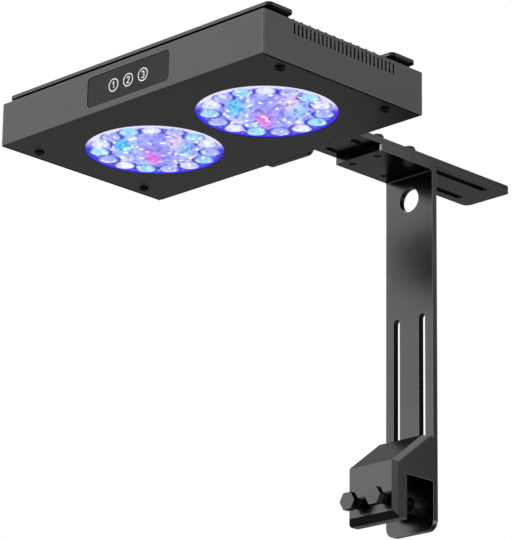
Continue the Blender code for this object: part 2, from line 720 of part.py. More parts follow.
def mitre_outline(side, gap):
    """Plan of an end panel's seat: as wide as the lamp outside, a sheet narrower inside."""
    outer_x = lamp_end_x + SHEET
    inner_x = lamp_end_x - SHEET - gap
    slant_x = lamp_end_x - gap * math.sqrt(2)
    half_outer = LAMP_DEPTH / 2 + (outer_x - slant_x)
    half_inner = LAMP_DEPTH / 2 - (slant_x - inner_x)
    corners = [(inner_x, -half_inner), (outer_x, -half_outer), (outer_x, half_outer),
               (inner_x, half_inner)]
    return [(side * x, lamp_mid_y + y) for x, y in corners]


def housing_shell(carrier):
    """Sheet folded into the lamp's front, bottom and rear, mitred where the end panels meet it."""
    front_y = lamp_front_y
    rear_y = lamp_rear_y
    outline = rounded([(front_y, lamp_top_z, 0), (front_y, lamp_bottom_z, SHEET_FOLD_RADIUS),
                       (rear_y, lamp_bottom_z, SHEET_FOLD_RADIUS), (rear_y, lamp_top_z, 0),
                       (rear_y - SHEET, lamp_top_z, 0),
                       (rear_y - SHEET, sheet_top_z, SHEET_BEND_RADIUS),
                       (front_y + SHEET, sheet_top_z, SHEET_BEND_RADIUS),
                       (front_y + SHEET, lamp_top_z, 0)])
    shell = prism("housing_shell", [outline], "YZ", *pair(LAMP_LENGTH))
    for side, name in ((-1, "left"), (1, "right")):
        mitre = prism("mitre_" + name, [mitre_outline(side, SEAT_GAP)], "XY",
                      lamp_bottom_z - CUT_OVERRUN, lamp_top_z + CUT_OVERRUN)
        combine(shell, mitre, "DIFFERENCE")
    windows = [circle(x, window_y, window_radius, WINDOW_STEPS) for x in pair(window_spacing)]
    hole_radius = SMALL_SCREW_DIAMETER / 2 + SCREW_GAP
    holes = [circle(x, y, hole_radius) for x, y in bottom_screw_places()]
    combine(shell, prism("bottom_openings", windows + holes, "XY", lamp_bottom_z - CUT_OVERRUN,
                         sheet_top_z + CUT_OVERRUN), "DIFFERENCE")
    overlay_hole = rectangle(0, lamp_bottom_z + OVERLAY_RISE, OVERLAY_WIDTH, OVERLAY_HEIGHT,
                             OVERLAY_RADIUS)
    combine(shell, prism("overlay_opening", [overlay_hole], "XZ", front_y - CUT_OVERRUN,
                         front_y + SHEET + CUT_OVERRUN), "DIFFERENCE")
    rear_holes = leg_screw_holes()
    rear_holes.append(circle(-INLET_OFFSET, lamp_bottom_z + INLET_RISE,
                             INLET_BODY_DIAMETER / 2 + SCREW_GAP))
    combine(shell, prism("rear_holes", rear_holes, "XZ", rear_y - SHEET - CUT_OVERRUN,
                         rear_y + CUT_OVERRUN), "DIFFERENCE")
    finish_part(shell, carrier, SATIN_BLACK)


def end_panel(side, name, carrier):
    """Mitred end wall with a row of vent slots, and two tabs that the bottom screws hold."""
    outer_x = lamp_end_x
    inner_x = lamp_end_x - SHEET
    half_outer = LAMP_DEPTH / 2
    half_inner = half_outer - SHEET
    plan = [(side * inner_x, lamp_mid_y - half_inner), (side * outer_x, lamp_mid_y - half_outer),
            (side * outer_x, lamp_mid_y + half_outer), (side * inner_x, lamp_mid_y + half_inner)]
    panel = prism("end_panel_" + name, [plan], "XY", lamp_bottom_z, lamp_top_z)
    round_edges(panel, lambda a, b: near(a.z, lamp_bottom_z) and near(b.z, lamp_bottom_z)
                and not near(a.x, b.x), SHEET_FOLD_RADIUS / math.sqrt(2), CORNER_STEPS)
    tab_x = side * (inner_x + TAB_ROOT - TAB_DEPTH / 2)
    screws = [(x, y) for x, y in bottom_screw_places() if x * side > 0]
    tabs = [rectangle(tab_x, y, TAB_DEPTH, TAB_WIDTH) for x, y in screws]
    hole_radius = SMALL_SCREW_DIAMETER / 2 + SCREW_GAP
    holes = [circle(x, y, hole_radius) for x, y in screws]
    combine(panel, prism("end_tabs_" + name, tabs + holes, "XY", tab_under_z, tab_top_z), "UNION")
    vent_mid_z = lamp_top_z - VENT_DROP - VENT_HEIGHT / 2
    first_y = lamp_mid_y - VENT_PITCH * (VENT_COUNT - 1) / 2
    vents = [rectangle(first_y + VENT_PITCH * index, vent_mid_z, VENT_WIDTH, VENT_HEIGHT)
             for index in range(VENT_COUNT)]
    ends = sorted((side * (outer_x + CUT_OVERRUN), side * (inner_x - CUT_OVERRUN)))
    combine(panel, prism("vents_" + name, vents, "YZ", *ends), "DIFFERENCE")
    finish_part(panel, carrier, SATIN_BLACK)


def bottom_fasteners(carrier):
    """Screws from below, through the sheet, the end panels' tabs and spacers, into the sink."""
    places = bottom_screw_places()
    spacer_under_z = tab_top_z + SEAT_GAP
    spacer_top_z = sink_under_z - SEAT_GAP
    head_z = lamp_bottom_z - SEAT_GAP
    length = sink_under_z + SINK_THREAD_DEPTH - head_z
    screw = screw_mesh(SMALL_SCREW_DIAMETER, length, SMALL_SCREW_HEAD, SMALL_SCREW_HEAD_HEIGHT,
                       HEAD_DOWN)
    add_copies("bottom_screw", screw, [(x, y, head_z) for x, y in places], carrier, BLACK_OXIDE)
    spacer = ring_mesh(SPACER_DIAMETER / 2, SMALL_SCREW_DIAMETER / 2 + SCREW_GAP, 0,
                       spacer_top_z - spacer_under_z)
    add_copies("spacer_post", spacer, [(x, y, spacer_under_z) for x, y in places], carrier, ZINC)


def heat_sink(carrier):
    """Extrusion: a base plate with fins between two hollow necks, each topped by a flat rail."""
    half_length = lamp_end_x - SHEET - SEAT_GAP
    base_front = lamp_front_y + SINK_BASE_SETBACK
    base_rear = lamp_rear_y - SINK_BASE_SETBACK
    neck_offset = LAMP_DEPTH / 2 - NECK_INSET - NECK_WIDTH / 2
    neck_top_z = rail_under_z + RAIL_THICKNESS / 2
    raised = [(lamp_mid_y + neck_offset, NECK_WIDTH, neck_top_z)]
    last_fin = neck_offset - NECK_WIDTH / 2 - FIN_MARGIN
    fin_pitch = 2 * last_fin / (FIN_COUNT - 1)
    for index in range(FIN_COUNT):
        raised.append((lamp_mid_y + last_fin - fin_pitch * index, FIN_THICKNESS, lamp_bottom_z + FIN_TOP))
    raised.append((lamp_mid_y - neck_offset, NECK_WIDTH, neck_top_z))
    outline = [(base_front, sink_base_top_z), (base_front, sink_under_z),
               (base_rear, sink_under_z), (base_rear, sink_base_top_z)]
    for y, width, top_z in raised:
        outline += [(y + width / 2, sink_base_top_z), (y + width / 2, top_z),
                    (y - width / 2, top_z), (y - width / 2, sink_base_top_z)]
    hollow_height = rail_under_z - NECK_WALL - sink_base_top_z
    hollows = [rectangle(lamp_mid_y + y, sink_base_top_z + hollow_height / 2,
                         NECK_WIDTH - 2 * NECK_WALL, hollow_height) for y in (-neck_offset, neck_offset)]
    sink = prism("heat_sink", [outline, *hollows], "YZ", -half_length, half_length)
    rail_offset = LAMP_DEPTH / 2 - RAIL_INSET - RAIL_WIDTH / 2
    for name, y in (("front", lamp_mid_y - rail_offset), ("rear", lamp_mid_y + rail_offset)):
        plan = rectangle(0, y, LAMP_LENGTH - 2 * RAIL_END_SETBACK, RAIL_WIDTH, RAIL_CORNER_RADIUS)
        combine(sink, prism(name + "_rail", [plan], "XY", rail_under_z, rail_top_z), "UNION")
    holes = [circle(x, y, SMALL_SCREW_DIAMETER / 2 + SCREW_GAP) for x, y in bottom_screw_places()]
    combine(sink, prism("sink_threads", holes, "XY", sink_under_z - CUT_OVERRUN,
                        sink_under_z + SINK_THREAD_DEPTH + SCREW_GAP), "DIFFERENCE")
    finish_part(sink, carrier, ANODISED)


# Light engines, controls and power


def lens_places():
    """X and Y of the lenses about the middle of a window: one, then two rings."""
    places = [(0, 0)]
    rings = ((INNER_LENSES, inner_ring_radius, INNER_RING_PHASE),
             (OUTER_LENSES, outer_ring_radius, OUTER_RING_PHASE))
    for count, radius, phase in rings:
        for index in range(count):
            angle = phase + 2 * math.pi * index / count
            places.append((radius * math.cos(angle), radius * math.sin(angle)))
    return places


def lens_dome_mesh():
    """Shallow round lens that bulges down from the origin, with a root above it."""
    radius = lens_diameter / 2
    sphere = (radius ** 2 + LENS_SAG ** 2) / (2 * LENS_SAG)
    half_angle = math.asin(radius / sphere)
    profile = [(0, LENS_ROOT), (radius, LENS_ROOT)]
    for ring in range(LENS_RINGS + 1):
        angle = half_angle * (1 - ring / LENS_RINGS)
        height = (sphere - LENS_SAG) - sphere * math.cos(angle)
        profile.append((sphere * math.sin(angle), height))
    return turned_mesh(profile, LENS_STEPS)


def light_engine(name, x, carrier):
    """Lens plate, gasket, and board with its emitters behind one window."""
    skirt_top = board_under_z - SEAT_GAP
    flange_z = gasket_top_z + SEAT_GAP
    skirt_inner = lens_flange_radius - LENS_SKIRT_WALL
    profile = [(0, lens_inside_z), (skirt_inner, lens_inside_z), (skirt_inner, skirt_top),
               (lens_flange_radius, skirt_top), (lens_flange_radius, flange_z),
               (lens_boss_radius, flange_z), (lens_boss_radius, lens_plate_z), (0, lens_plate_z)]
    plate = turned_mesh([(r, z - lens_plate_z) for r, z in profile], WINDOW_STEPS)
    lens = add_mesh("lens_array_" + name, plate)
    lens.location = (x, window_y, lens_plate_z)
    domes = [(x + u, window_y + v, lens_plate_z) for u, v in lens_places()]
    combine(lens, tool_group("lens_domes_" + name, lens_dome_mesh(), domes), "UNION")
    finish_part(lens, carrier, CLEAR_LENS, smooth=True)

    gasket_outer = lens_flange_radius
    ring = ring_mesh(gasket_outer, gasket_outer - GASKET_WIDTH, 0, GASKET_THICKNESS, WINDOW_STEPS)
    gasket = add_mesh("window_gasket_" + name, ring)
    gasket.location = (x, window_y, gasket_under_z)
    finish_part(gasket, carrier, RUBBER, smooth=True)

    disc = circle(x, window_y, lens_flange_radius, WINDOW_STEPS)
    board = prism("led_board_" + name, [disc], "XY", board_under_z, board_top_z)
    emitter = box_mesh(EMITTER_SIZE, EMITTER_SIZE, EMITTER_HEIGHT + SOLDER_ROOT)
    emitter_z = board_under_z + (SOLDER_ROOT - EMITTER_HEIGHT) / 2
    emitters = [(x + u, window_y + v, emitter_z) for u, v in lens_places()]
    combine(board, tool_group("led_emitters_" + name, emitter, emitters), "UNION")
    finish_part(board, carrier, BOARD_WHITE)


def controls(carrier):
    """Touch overlay let into the lamp's front, and the board behind it."""
    middle_z = lamp_bottom_z + OVERLAY_RISE
    overlay_rear_y = lamp_front_y + SHEET
    outline = rectangle(0, middle_z, OVERLAY_WIDTH - 2 * OVERLAY_PLAY,
                        OVERLAY_HEIGHT - 2 * OVERLAY_PLAY, OVERLAY_RADIUS - OVERLAY_PLAY)
    overlay = prism("control_overlay", [outline], "XZ", overlay_rear_y - OVERLAY_THICKNESS,
                    overlay_rear_y)
    finish_part(overlay, carrier, OVERLAY_FILM)
    board_front_y = overlay_rear_y + SEAT_GAP
    outline = rectangle(0, middle_z, OVERLAY_WIDTH + 2 * CONTROL_BOARD_MARGIN,
                        OVERLAY_HEIGHT + 2 * CONTROL_BOARD_MARGIN)
    board = prism("control_board", [outline], "XZ", board_front_y, board_front_y + BOARD_THICKNESS)
    finish_part(board, carrier, BOARD_GREEN)


def driver(carrier):
    """Driver board under the heat sink, behind the windows, with a row of coils."""
    middle_y = lamp_rear_y - SINK_BASE_SETBACK - DRIVER_BOARD_WIDTH / 2
    outline = rectangle(0, middle_y, DRIVER_BOARD_LENGTH, DRIVER_BOARD_WIDTH)
    board = prism("driver_board", [outline], "XY", board_under_z, board_top_z)
    first_x = -COIL_PITCH * (COIL_COUNT - 1) / 2
    coil_z = board_under_z + (SOLDER_ROOT - COIL_HEIGHT) / 2
    places = [(first_x + COIL_PITCH * index, middle_y, coil_z) for index in range(COIL_COUNT)]
    coil = box_mesh(COIL_SIZE, COIL_SIZE, COIL_HEIGHT + SOLDER_ROOT)
    combine(board, tool_group("driver_coils", coil, places), "UNION")
    finish_part(board, carrier, BOARD_GREEN)


def power_inlet(carrier):
    """Round power socket through the rear wall, with a centre pin in its bore."""
    nut_radius = INLET_NUT_DIAMETER / 2
    body_radius = INLET_BODY_DIAMETER / 2
    bore_radius = INLET_BORE_DIAMETER / 2
    pin_radius = INLET_PIN_DIAMETER / 2
    face = INLET_NUT_THICKNESS
    end = -(SEAT_GAP + SHEET + INLET_BODY_LENGTH)
    floor = end + INLET_FLOOR
    pin_top = face - INLET_PIN_SETBACK
    profile = [(0, pin_top), (pin_radius, pin_top), (pin_radius, floor), (bore_radius, floor),
               (bore_radius, face), (nut_radius, face), (nut_radius, 0), (body_radius, 0),
               (body_radius, end), (0, end)]
    inlet = add_mesh("dc_inlet", turned_mesh(profile))
    inlet.rotation_euler = (-math.pi / 2, 0, 0)
    inlet.location = (-INLET_OFFSET, lamp_rear_y + SEAT_GAP, lamp_bottom_z + INLET_RISE)
    finish_part(inlet, carrier, BLACK_OXIDE, smooth=True)


def build():
    """Every piece, on the carrier that it moves with."""
    clamp = make_carrier("clamp_carrier", (0, 0, 0))
    post = make_carrier("post_carrier", (0, post_front_y, 0), clamp)
    arm = make_carrier("arm_carrier", (0, 0, arm_under_z), post)
    clamp_block(clamp)
    clamp_slide_fasteners(clamp)
    for side, x in zip(("left", "right"), pair(BOLT_SPACING)):
        feed = make_carrier("bolt_carrier_" + side, (x, jaw_outer_y, -BOLT_DROP), clamp)
        clamp_bolt(side, x, feed)
    post_bracket(post)
    arm_lock_fasteners(post)
    reach_arm(arm)
    leg_fasteners(arm)
    housing_shell(arm)
    for side, name in ((-1, "left"), (1, "right")):
        end_panel(side, name, arm)
    bottom_fasteners(arm)
    heat_sink(arm)
    for name, x in zip(("left", "right"), pair(window_spacing)):
        light_engine(name, x, arm)
    controls(arm)
    driver(arm)
    power_inlet(arm)


build()
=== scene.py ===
# %% [markdown]
# # A clamp-on aquarium light
# The imported model gives every solid at its real size and place. This lesson dresses it: edges that catch the
# light, coatings with a fine grain, threaded bolts, and two windows full of glowing lenses.
# The model is loaded first and never moved.

# %% Load the imported model
import json
import math

import bmesh
import bpy
import numpy as np
from mathutils import Matrix, Vector

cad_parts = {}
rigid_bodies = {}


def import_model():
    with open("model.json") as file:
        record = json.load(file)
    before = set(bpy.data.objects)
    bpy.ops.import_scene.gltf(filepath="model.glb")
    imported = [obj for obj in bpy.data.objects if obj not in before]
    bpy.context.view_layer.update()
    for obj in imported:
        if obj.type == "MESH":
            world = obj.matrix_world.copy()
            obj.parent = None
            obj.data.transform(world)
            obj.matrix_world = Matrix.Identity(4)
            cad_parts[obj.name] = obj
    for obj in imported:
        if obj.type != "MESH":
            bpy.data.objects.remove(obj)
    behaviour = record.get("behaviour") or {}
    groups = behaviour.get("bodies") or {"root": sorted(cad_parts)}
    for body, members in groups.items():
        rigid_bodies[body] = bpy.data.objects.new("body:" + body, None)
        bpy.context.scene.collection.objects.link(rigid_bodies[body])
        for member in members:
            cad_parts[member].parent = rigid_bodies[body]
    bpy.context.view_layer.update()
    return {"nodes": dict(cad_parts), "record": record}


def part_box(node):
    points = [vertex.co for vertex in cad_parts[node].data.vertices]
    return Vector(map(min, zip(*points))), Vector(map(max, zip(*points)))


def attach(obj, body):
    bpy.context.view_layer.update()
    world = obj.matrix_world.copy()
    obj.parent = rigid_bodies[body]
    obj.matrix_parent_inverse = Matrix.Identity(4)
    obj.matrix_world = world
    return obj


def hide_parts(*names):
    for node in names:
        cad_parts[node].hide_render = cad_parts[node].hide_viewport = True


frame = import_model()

record = frame["record"]
body_of = {node: body for body, members in record["behaviour"]["bodies"].items() for node in members}

# %% [markdown]
# ## Camera
# The lamp is seen from below and from its front right corner, with a long lens, so its edges stay almost parallel.
# A camera can be aimed with a constraint, but a place, a line of sight and a small roll say the same in three values.
# The sensor is 36 mm along the picture's long side, which is its height here.

# %% Camera
PICTURE_HEIGHT = 540
FOCAL_PIXELS = 3178.0
SENSOR = 36.0
FURTHEST = 50
CAMERA_PLACE = Vector((1.2020, -1.3285, -0.4596))
CAMERA_SIGHT = Vector((-0.66925, 0.67415, 0.31244))
CAMERA_ROLL = math.radians(0.807)

camera_data = bpy.data.cameras.new("camera")
camera_data.sensor_width = SENSOR
camera_data.lens = FOCAL_PIXELS * SENSOR / PICTURE_HEIGHT
camera_data.clip_end = FURTHEST
camera = bpy.data.objects.new("camera", camera_data)
bpy.context.scene.collection.objects.link(camera)
camera_turn = CAMERA_SIGHT.to_track_quat("-Z", "Y").to_matrix() @ Matrix.Rotation(CAMERA_ROLL, 3, "Z")
camera.matrix_world = Matrix.LocRotScale(CAMERA_PLACE, camera_turn, None)
bpy.context.scene.camera = camera
bpy.context.scene.view_settings.view_transform = "Standard"
print("lens in mm:", round(camera_data.lens, 1))

# %% [markdown]
# ## Studio
# Black metal is shaped by what it mirrors, so the lamps are soft boxes. A broad one in front and to the left makes
# the faces that look forwards the brightest. A weaker one on the right lifts the lamp's end, and a small one fills
# the corner between. Three more, above and behind, serve the sides that this picture hides. In some views a box
# stands before the camera, so all six light the object without being seen themselves.

# %% Soft boxes
LAMP_AIM = (0, -0.1, 0.1)
STAND_AIM = (0, 0, 0.1)


def add_softbox(name, place, aim, size, watts):
    """Square area lamp at a place, facing the point that it is aimed at, and out of the picture itself."""
    lamp = bpy.data.lights.new(name, "AREA")
    lamp.size = size
    lamp.energy = watts
    item = bpy.data.objects.new(name, lamp)
    item.location = place
    item.rotation_euler = (Vector(aim) - Vector(place)).to_track_quat("-Z", "Y").to_euler()
    item.visible_camera = False
    bpy.context.scene.collection.objects.link(item)


# name, place, aim, width in metres, watts
add_softbox("front_box", (-1.7, -1.9, 0.9), LAMP_AIM, 2.2, 58)
add_softbox("right_box", (0.83, 0.56, 0.60), LAMP_AIM, 0.42, 1.75)
add_softbox("corner_box", (1.4, -1.4, 0.75), LAMP_AIM, 0.6, 2.5)
add_softbox("top_box", (-0.2, 0.3, 2.3), STAND_AIM, 2.6, 80)
add_softbox("rear_box", (-1.0, 2.1, 1.0), LAMP_AIM, 1.5, 26)
add_softbox("rear_low_box", (1.30, 1.65, -0.22), STAND_AIM, 0.9, 15)
print("soft boxes:", len(bpy.data.lights))

# %% [markdown]
# Worlds and materials are trees of nodes. Helpers keep them short: one makes a node, one fills its inputs, and the
# others are the sums and mixes that come back in every tree.

# %% Node helpers
def add_node(tree, kind, **settings):
    """New node, with settings given by name."""
    node = tree.nodes.new(kind)
    for name, value in settings.items():
        setattr(node, name, value)
    return node


def feed(tree, node, values):
    """Inputs of a node by name or number: a socket is linked, anything else is a fixed value."""
    for name, value in values.items():
        if isinstance(value, bpy.types.NodeSocket):
            tree.links.new(value, node.inputs[name])
        else:
            node.inputs[name].default_value = value
    return node


def sum_of(tree, operation, *terms):
    """Result of a sum with one or two terms."""
    node = add_node(tree, "ShaderNodeMath", operation=operation)
    return feed(tree, node, dict(enumerate(terms))).outputs[0]


def ranged(tree, source, start, end, low=0.0, high=1.0, steps="SMOOTHSTEP"):
    """Value that goes from low to high, smoothly or evenly, while the source goes from start to end."""
    node = add_node(tree, "ShaderNodeMapRange", interpolation_type=steps)
    limits = {"From Min": start, "From Max": end, "To Min": low, "To Max": high}
    return feed(tree, node, {"Value": source, **limits}).outputs[0]


def mixed(tree, first, second, share, blend="MIX"):
    """Two colours mixed by a share, each a socket or a fixed value."""
    node = add_node(tree, "ShaderNodeMix", data_type="RGBA", blend_type=blend)
    return feed(tree, node, {"Factor": share, "A": first, "B": second}).outputs["Result"]


def mixed_shaders(tree, first, second, share):
    """Two shaders mixed by a share."""
    node = add_node(tree, "ShaderNodeMixShader")
    return feed(tree, node, {"Fac": share, 1: first, 2: second}).outputs[0]


def grey(tone):
    """Grey colour of a linear tone."""
    return (tone, tone, tone, 1)


print("node helpers ready")

# %% [markdown]
# A product stands before white paper. The world is white only where it is seen or mirrored, and grey where it lights,
# so the black stays black.

# %% World
AMBIENT = 0.22
BACKDROP_WHITE = 1.0


def show_share(tree):
    """Socket that is 1 for a ray from the camera, a reflection or a clear piece, and 0 for light on the object."""
    rays = add_node(tree, "ShaderNodeLightPath").outputs
    seen = sum_of(tree, "MAXIMUM", rays["Is Camera Ray"], rays["Is Glossy Ray"])
    return sum_of(tree, "MAXIMUM", seen, rays["Is Transmission Ray"])


world = bpy.data.worlds.new("studio")
bpy.context.scene.world = world
world.use_nodes = True
tree = world.node_tree
tree.nodes.clear()
lighting = feed(tree, add_node(tree, "ShaderNodeBackground"), {"Color": grey(AMBIENT)})
backdrop = feed(tree, add_node(tree, "ShaderNodeBackground"), {"Color": grey(BACKDROP_WHITE)})
choice = mixed_shaders(tree, lighting.outputs[0], backdrop.outputs[0], show_share(tree))
feed(tree, add_node(tree, "ShaderNodeOutputWorld"), {"Surface": choice})
print("world nodes:", len(tree.nodes))

# %% [markdown]
# The floor is pale paper that keeps the object's shadow and clears to white further out. Some views look up from
# beneath it, so its lower side lets them through.

# %% Floor
FLOOR_DROP = 0.95
FLOOR_HALF = 7.0
FLOOR_TONE = 0.62
FLOOR_ROUGHNESS = 0.9
FLOOR_REACH = (1.3, 2.6)
FLOOR_GLOW = (0.25, 1.0)

floor_mesh = bpy.data.meshes.new("floor")
floor_corners = [(FLOOR_HALF * x, FLOOR_HALF * y, -FLOOR_DROP) for x, y in ((-1, -1), (1, -1), (1, 1), (-1, 1))]
floor_mesh.from_pydata(floor_corners, [], [(0, 1, 2, 3)])
floor = bpy.data.objects.new("floor", floor_mesh)
bpy.context.scene.collection.objects.link(floor)
paper = bpy.data.materials.new("paper")
paper.use_nodes = True
tree = paper.node_tree
sheet = feed(tree, tree.nodes["Principled BSDF"], {"Base Color": grey(FLOOR_TONE), "Roughness": FLOOR_ROUGHNESS})
bright = add_node(tree, "ShaderNodeEmission")
away = add_node(tree, "ShaderNodeVectorMath", operation="LENGTH")
feed(tree, away, {0: add_node(tree, "ShaderNodeTexCoord").outputs["Object"]})
clearing = ranged(tree, away.outputs["Value"], *FLOOR_REACH, *FLOOR_GLOW)
glow = sum_of(tree, "MULTIPLY", show_share(tree), clearing)
above = mixed_shaders(tree, sheet.outputs[0], bright.outputs[0], glow)
below = add_node(tree, "ShaderNodeBsdfTransparent").outputs[0]
underside = add_node(tree, "ShaderNodeNewGeometry").outputs["Backfacing"]
feed(tree, tree.nodes["Material Output"], {"Surface": mixed_shaders(tree, above, below, underside)})
floor_mesh.materials.append(paper)
print("floor nodes:", len(tree.nodes))

# %% [markdown]
# ## Finishes
# All the black metal has one thing in common: a coat with a fine grain and slow clouds of tone, a little paler along
# edges, partly as wear and partly as a painted highlight. That effect is a node group with its own inputs, built
# once.
# Each material places it with other values, and keeps its own shader. The edge mask comes from ambient occlusion
# measured inside the metal, which is dark where two outer faces meet. Measured outside, it finds narrow hollows,
# which it darkens as painted shade.

# %% Coat group
COAT_INPUTS = (
    ("Tone", "NodeSocketColor", grey(0.05)),
    ("Rubbed", "NodeSocketColor", grey(0.12)),
    ("Rub", "NodeSocketFloat", 0.3),
    ("Roughness", "NodeSocketFloat", 0.45),
    ("Grain", "NodeSocketFloat", 2400.0),
    ("Clouds", "NodeSocketFloat", 25.0),
)
COAT_OUTPUTS = (("Color", "NodeSocketColor"), ("Roughness", "NodeSocketFloat"), ("Height", "NodeSocketFloat"))
GRAIN_DETAIL = 3
CLOUD_DETAIL = 4
CLOUD_FIELD = (0.3, 0.7)
CLOUD_TONE = (0.93, 1.07)
EDGE_REACH = 0.0006
EDGE_OPEN = (0.95, 0.45)
HOLLOW_REACH = 0.0040
HOLLOW_OPEN = (0.0, 0.55)
HOLLOW_SHADE_TONE = (0.08, 1.0)
OPEN_SAMPLES = 6

coat = bpy.data.node_groups.new("coat", "ShaderNodeTree")
for name, kind, value in COAT_INPUTS:
    coat.interface.new_socket(name, in_out="INPUT", socket_type=kind).default_value = value
for name, kind in COAT_OUTPUTS:
    coat.interface.new_socket(name, in_out="OUTPUT", socket_type=kind)
given = add_node(coat, "NodeGroupInput").outputs
coat_place = add_node(coat, "ShaderNodeTexCoord").outputs["Object"]


def coat_noise(size, detail):
    """Noise over the object, whose scale is one of the group's inputs."""
    node = add_node(coat, "ShaderNodeTexNoise")
    return feed(coat, node, {"Vector": coat_place, "Scale": given[size], "Detail": detail}).outputs["Fac"]


def openness(reach, **settings):
    """Ambient occlusion within a reach: 1 in the open, less where other faces are near."""
    node = add_node(coat, "ShaderNodeAmbientOcclusion", samples=OPEN_SAMPLES, **settings)
    return feed(coat, node, {"Distance": reach}).outputs["AO"]


def scaled(tone, share):
    """Colour times a value."""
    node = add_node(coat, "ShaderNodeVectorMath", operation="SCALE")
    return feed(coat, node, {0: tone, "Scale": share}).outputs[0]


cloud_tone = ranged(coat, coat_noise("Clouds", CLOUD_DETAIL), *CLOUD_FIELD, *CLOUD_TONE, steps="LINEAR")
# Edges paler in colour: wear, and a painted highlight along them.
edge_mask = ranged(coat, openness(EDGE_REACH, inside=True, only_local=True), *EDGE_OPEN, steps="LINEAR")
wear_and_highlight_share = sum_of(coat, "MULTIPLY", edge_mask, given["Rub"])
worn_and_highlit_tone = mixed(coat, scaled(given["Tone"], cloud_tone), given["Rubbed"], wear_and_highlight_share)
# Painted shade: the colour darkens in narrow hollows.
painted_hollow_shade = ranged(coat, openness(HOLLOW_REACH), *HOLLOW_OPEN, *HOLLOW_SHADE_TONE)
feed(coat, add_node(coat, "NodeGroupOutput"), {
    "Color": scaled(worn_and_highlit_tone, painted_hollow_shade),
    "Roughness": sum_of(coat, "MULTIPLY", given["Roughness"], cloud_tone),
    "Height": coat_noise("Grain", GRAIN_DETAIL),
})
print("coat group:", len(coat.nodes), "nodes")

# %% [markdown]
# The group gives colour, roughness and height, and a material adds the shader. Sheet, plates and block are coated
# aluminium. The extrusion is anodised, the fasteners are black steel. Rubber, film and moulded plastic use the same
# group with other grain.

# %% Coated materials
GRAIN_HEIGHT = 0.0002


def colour(code):
    """Linear colour of a six-digit web colour: each channel c becomes ((c + 0.055) / 1.055) ** 2.4."""
    channels = np.array([int(code[i:i + 2], 16) for i in (0, 2, 4)]) / 255
    return np.where(channels <= 0.04045, channels / 12.92, ((channels + 0.055) / 1.055) ** 2.4)


def coated(name, tone, pale_edge_tone, wear_and_highlight, roughness, grain, bump, metallic=0.0, specular=0.5, edge_tint=1.0):
    """Principled material whose colour, roughness and bump come from the coat group."""
    material = bpy.data.materials.new(name)
    material.use_nodes = True
    tree = material.node_tree
    layer = feed(tree, add_node(tree, "ShaderNodeGroup", node_tree=coat), {
        "Tone": (*colour(tone), 1), "Rubbed": (*colour(pale_edge_tone), 1), "Rub": wear_and_highlight,
        "Roughness": roughness, "Grain": grain,
    }).outputs
    relief = {"Strength": bump, "Distance": GRAIN_HEIGHT, "Height": layer["Height"]}
    feed(tree, tree.nodes["Principled BSDF"], {
        "Metallic": metallic, "Specular IOR Level": specular, "Specular Tint": grey(edge_tint),
        "Base Color": layer["Color"], "Roughness": layer["Roughness"],
        "Normal": feed(tree, add_node(tree, "ShaderNodeBump"), relief).outputs["Normal"],
    })
    return material


# name, tone, pale edge tone, share of edge wear and painted highlight, roughness, scale of the grain, strength of its
# bump
panel_coat = coated("panel_coat", "343435", "606062", 0.25, 0.38, 2600, 0.10, metallic=1, specular=0, edge_tint=0.53)
sheet_coat = coated("sheet_coat", "343435", "606062", 0.25, 0.38, 2600, 0.10, metallic=1, edge_tint=0.53)
plate_coat = coated("plate_coat", "2e2e2f", "606062", 0.25, 0.22, 2200, 0.08, metallic=1, edge_tint=0.54)
block_coat = coated("block_coat", "313132", "666668", 0.30, 0.23, 2000, 0.10, metallic=1, edge_tint=0.47)
sink_anodise = coated("sink_anodise", "303031", "505052", 0.30, 0.28, 3200, 0.06, metallic=1, edge_tint=0.50)
screw_black = coated("screw_black", "161617", "4a4a4c", 0.40, 0.26, 3000, 0.05, metallic=1, edge_tint=0.50)
cap_black = coated("cap_black", "2c2c2d", "606062", 0.40, 0.28, 3000, 0.05, metallic=1, edge_tint=0.50)
bolt_black = coated("bolt_black", "323233", "606062", 0.30, 0.30, 2600, 0.06, metallic=1, edge_tint=0.40)
zinc_plate = coated("zinc_plate", "b4b6b8", "d8d9da", 0.30, 0.28, 1500, 0.05, metallic=1)
pad_rubber = coated("pad_rubber", "0c0c0d", "1e1e1f", 0.15, 0.50, 1800, 0.20, specular=0.05)
panel_film = coated("panel_film", "131315", "4a4a4c", 0.15, 0.50, 5200, 0.03, specular=0.085)
inlet_moulding = coated("inlet_moulding", "262627", "4c4c4d", 0.20, 0.48, 2800, 0.12, specular=0.4)
board_mask = coated("board_mask", "12351f", "3a6a4c", 0.20, 0.40, 1600, 0.05)
led_mask = coated("led_mask", "dcdde0", "f2f2f4", 0.20, 0.45, 1600, 0.05)
print("coated materials:", len([item for item in bpy.data.materials if item != paper]))

# %% [markdown]
# A finish also differs by place and by the way that a face looks, and here it carries painted light too. Upright
# corners are painted paler as a highlight, and the end panels' faces that look down are painted black as the seam's
# shadow line. The walls of slots and holes, the flanks of fins, a bolt's shank and whatever overhangs are darkened as
# painted shade. These are masks from a place or a face's direction on the object itself, so they stay where they are
# in every view.

# %% Masks by place and direction
CORNER_FACES = (0.15, 0.45)
SIDE_FACES = (0.35, 0.85)
FRONT_FACES = (-0.20, -0.60)
NOT_FRONT_FACES = (-0.95, -0.70)
NOT_LOWER_FACES = (-0.75, -0.30)
NOT_UPPER_FACES = (0.7, 0.3)
OVERHANG_FACES = (0.20, 0.40)
PLATE_MARGIN = (0.0010, 0.0014)
FIN_FADE = 0.0006
SLOT_FADE = 0.0002


def parts_of(tree, output):
    """X, Y and Z of the place (Object) or of the way that a face looks (Normal)."""
    source = add_node(tree, "ShaderNodeTexCoord").outputs[output]
    return feed(tree, add_node(tree, "ShaderNodeSeparateXYZ"), {0: source}).outputs


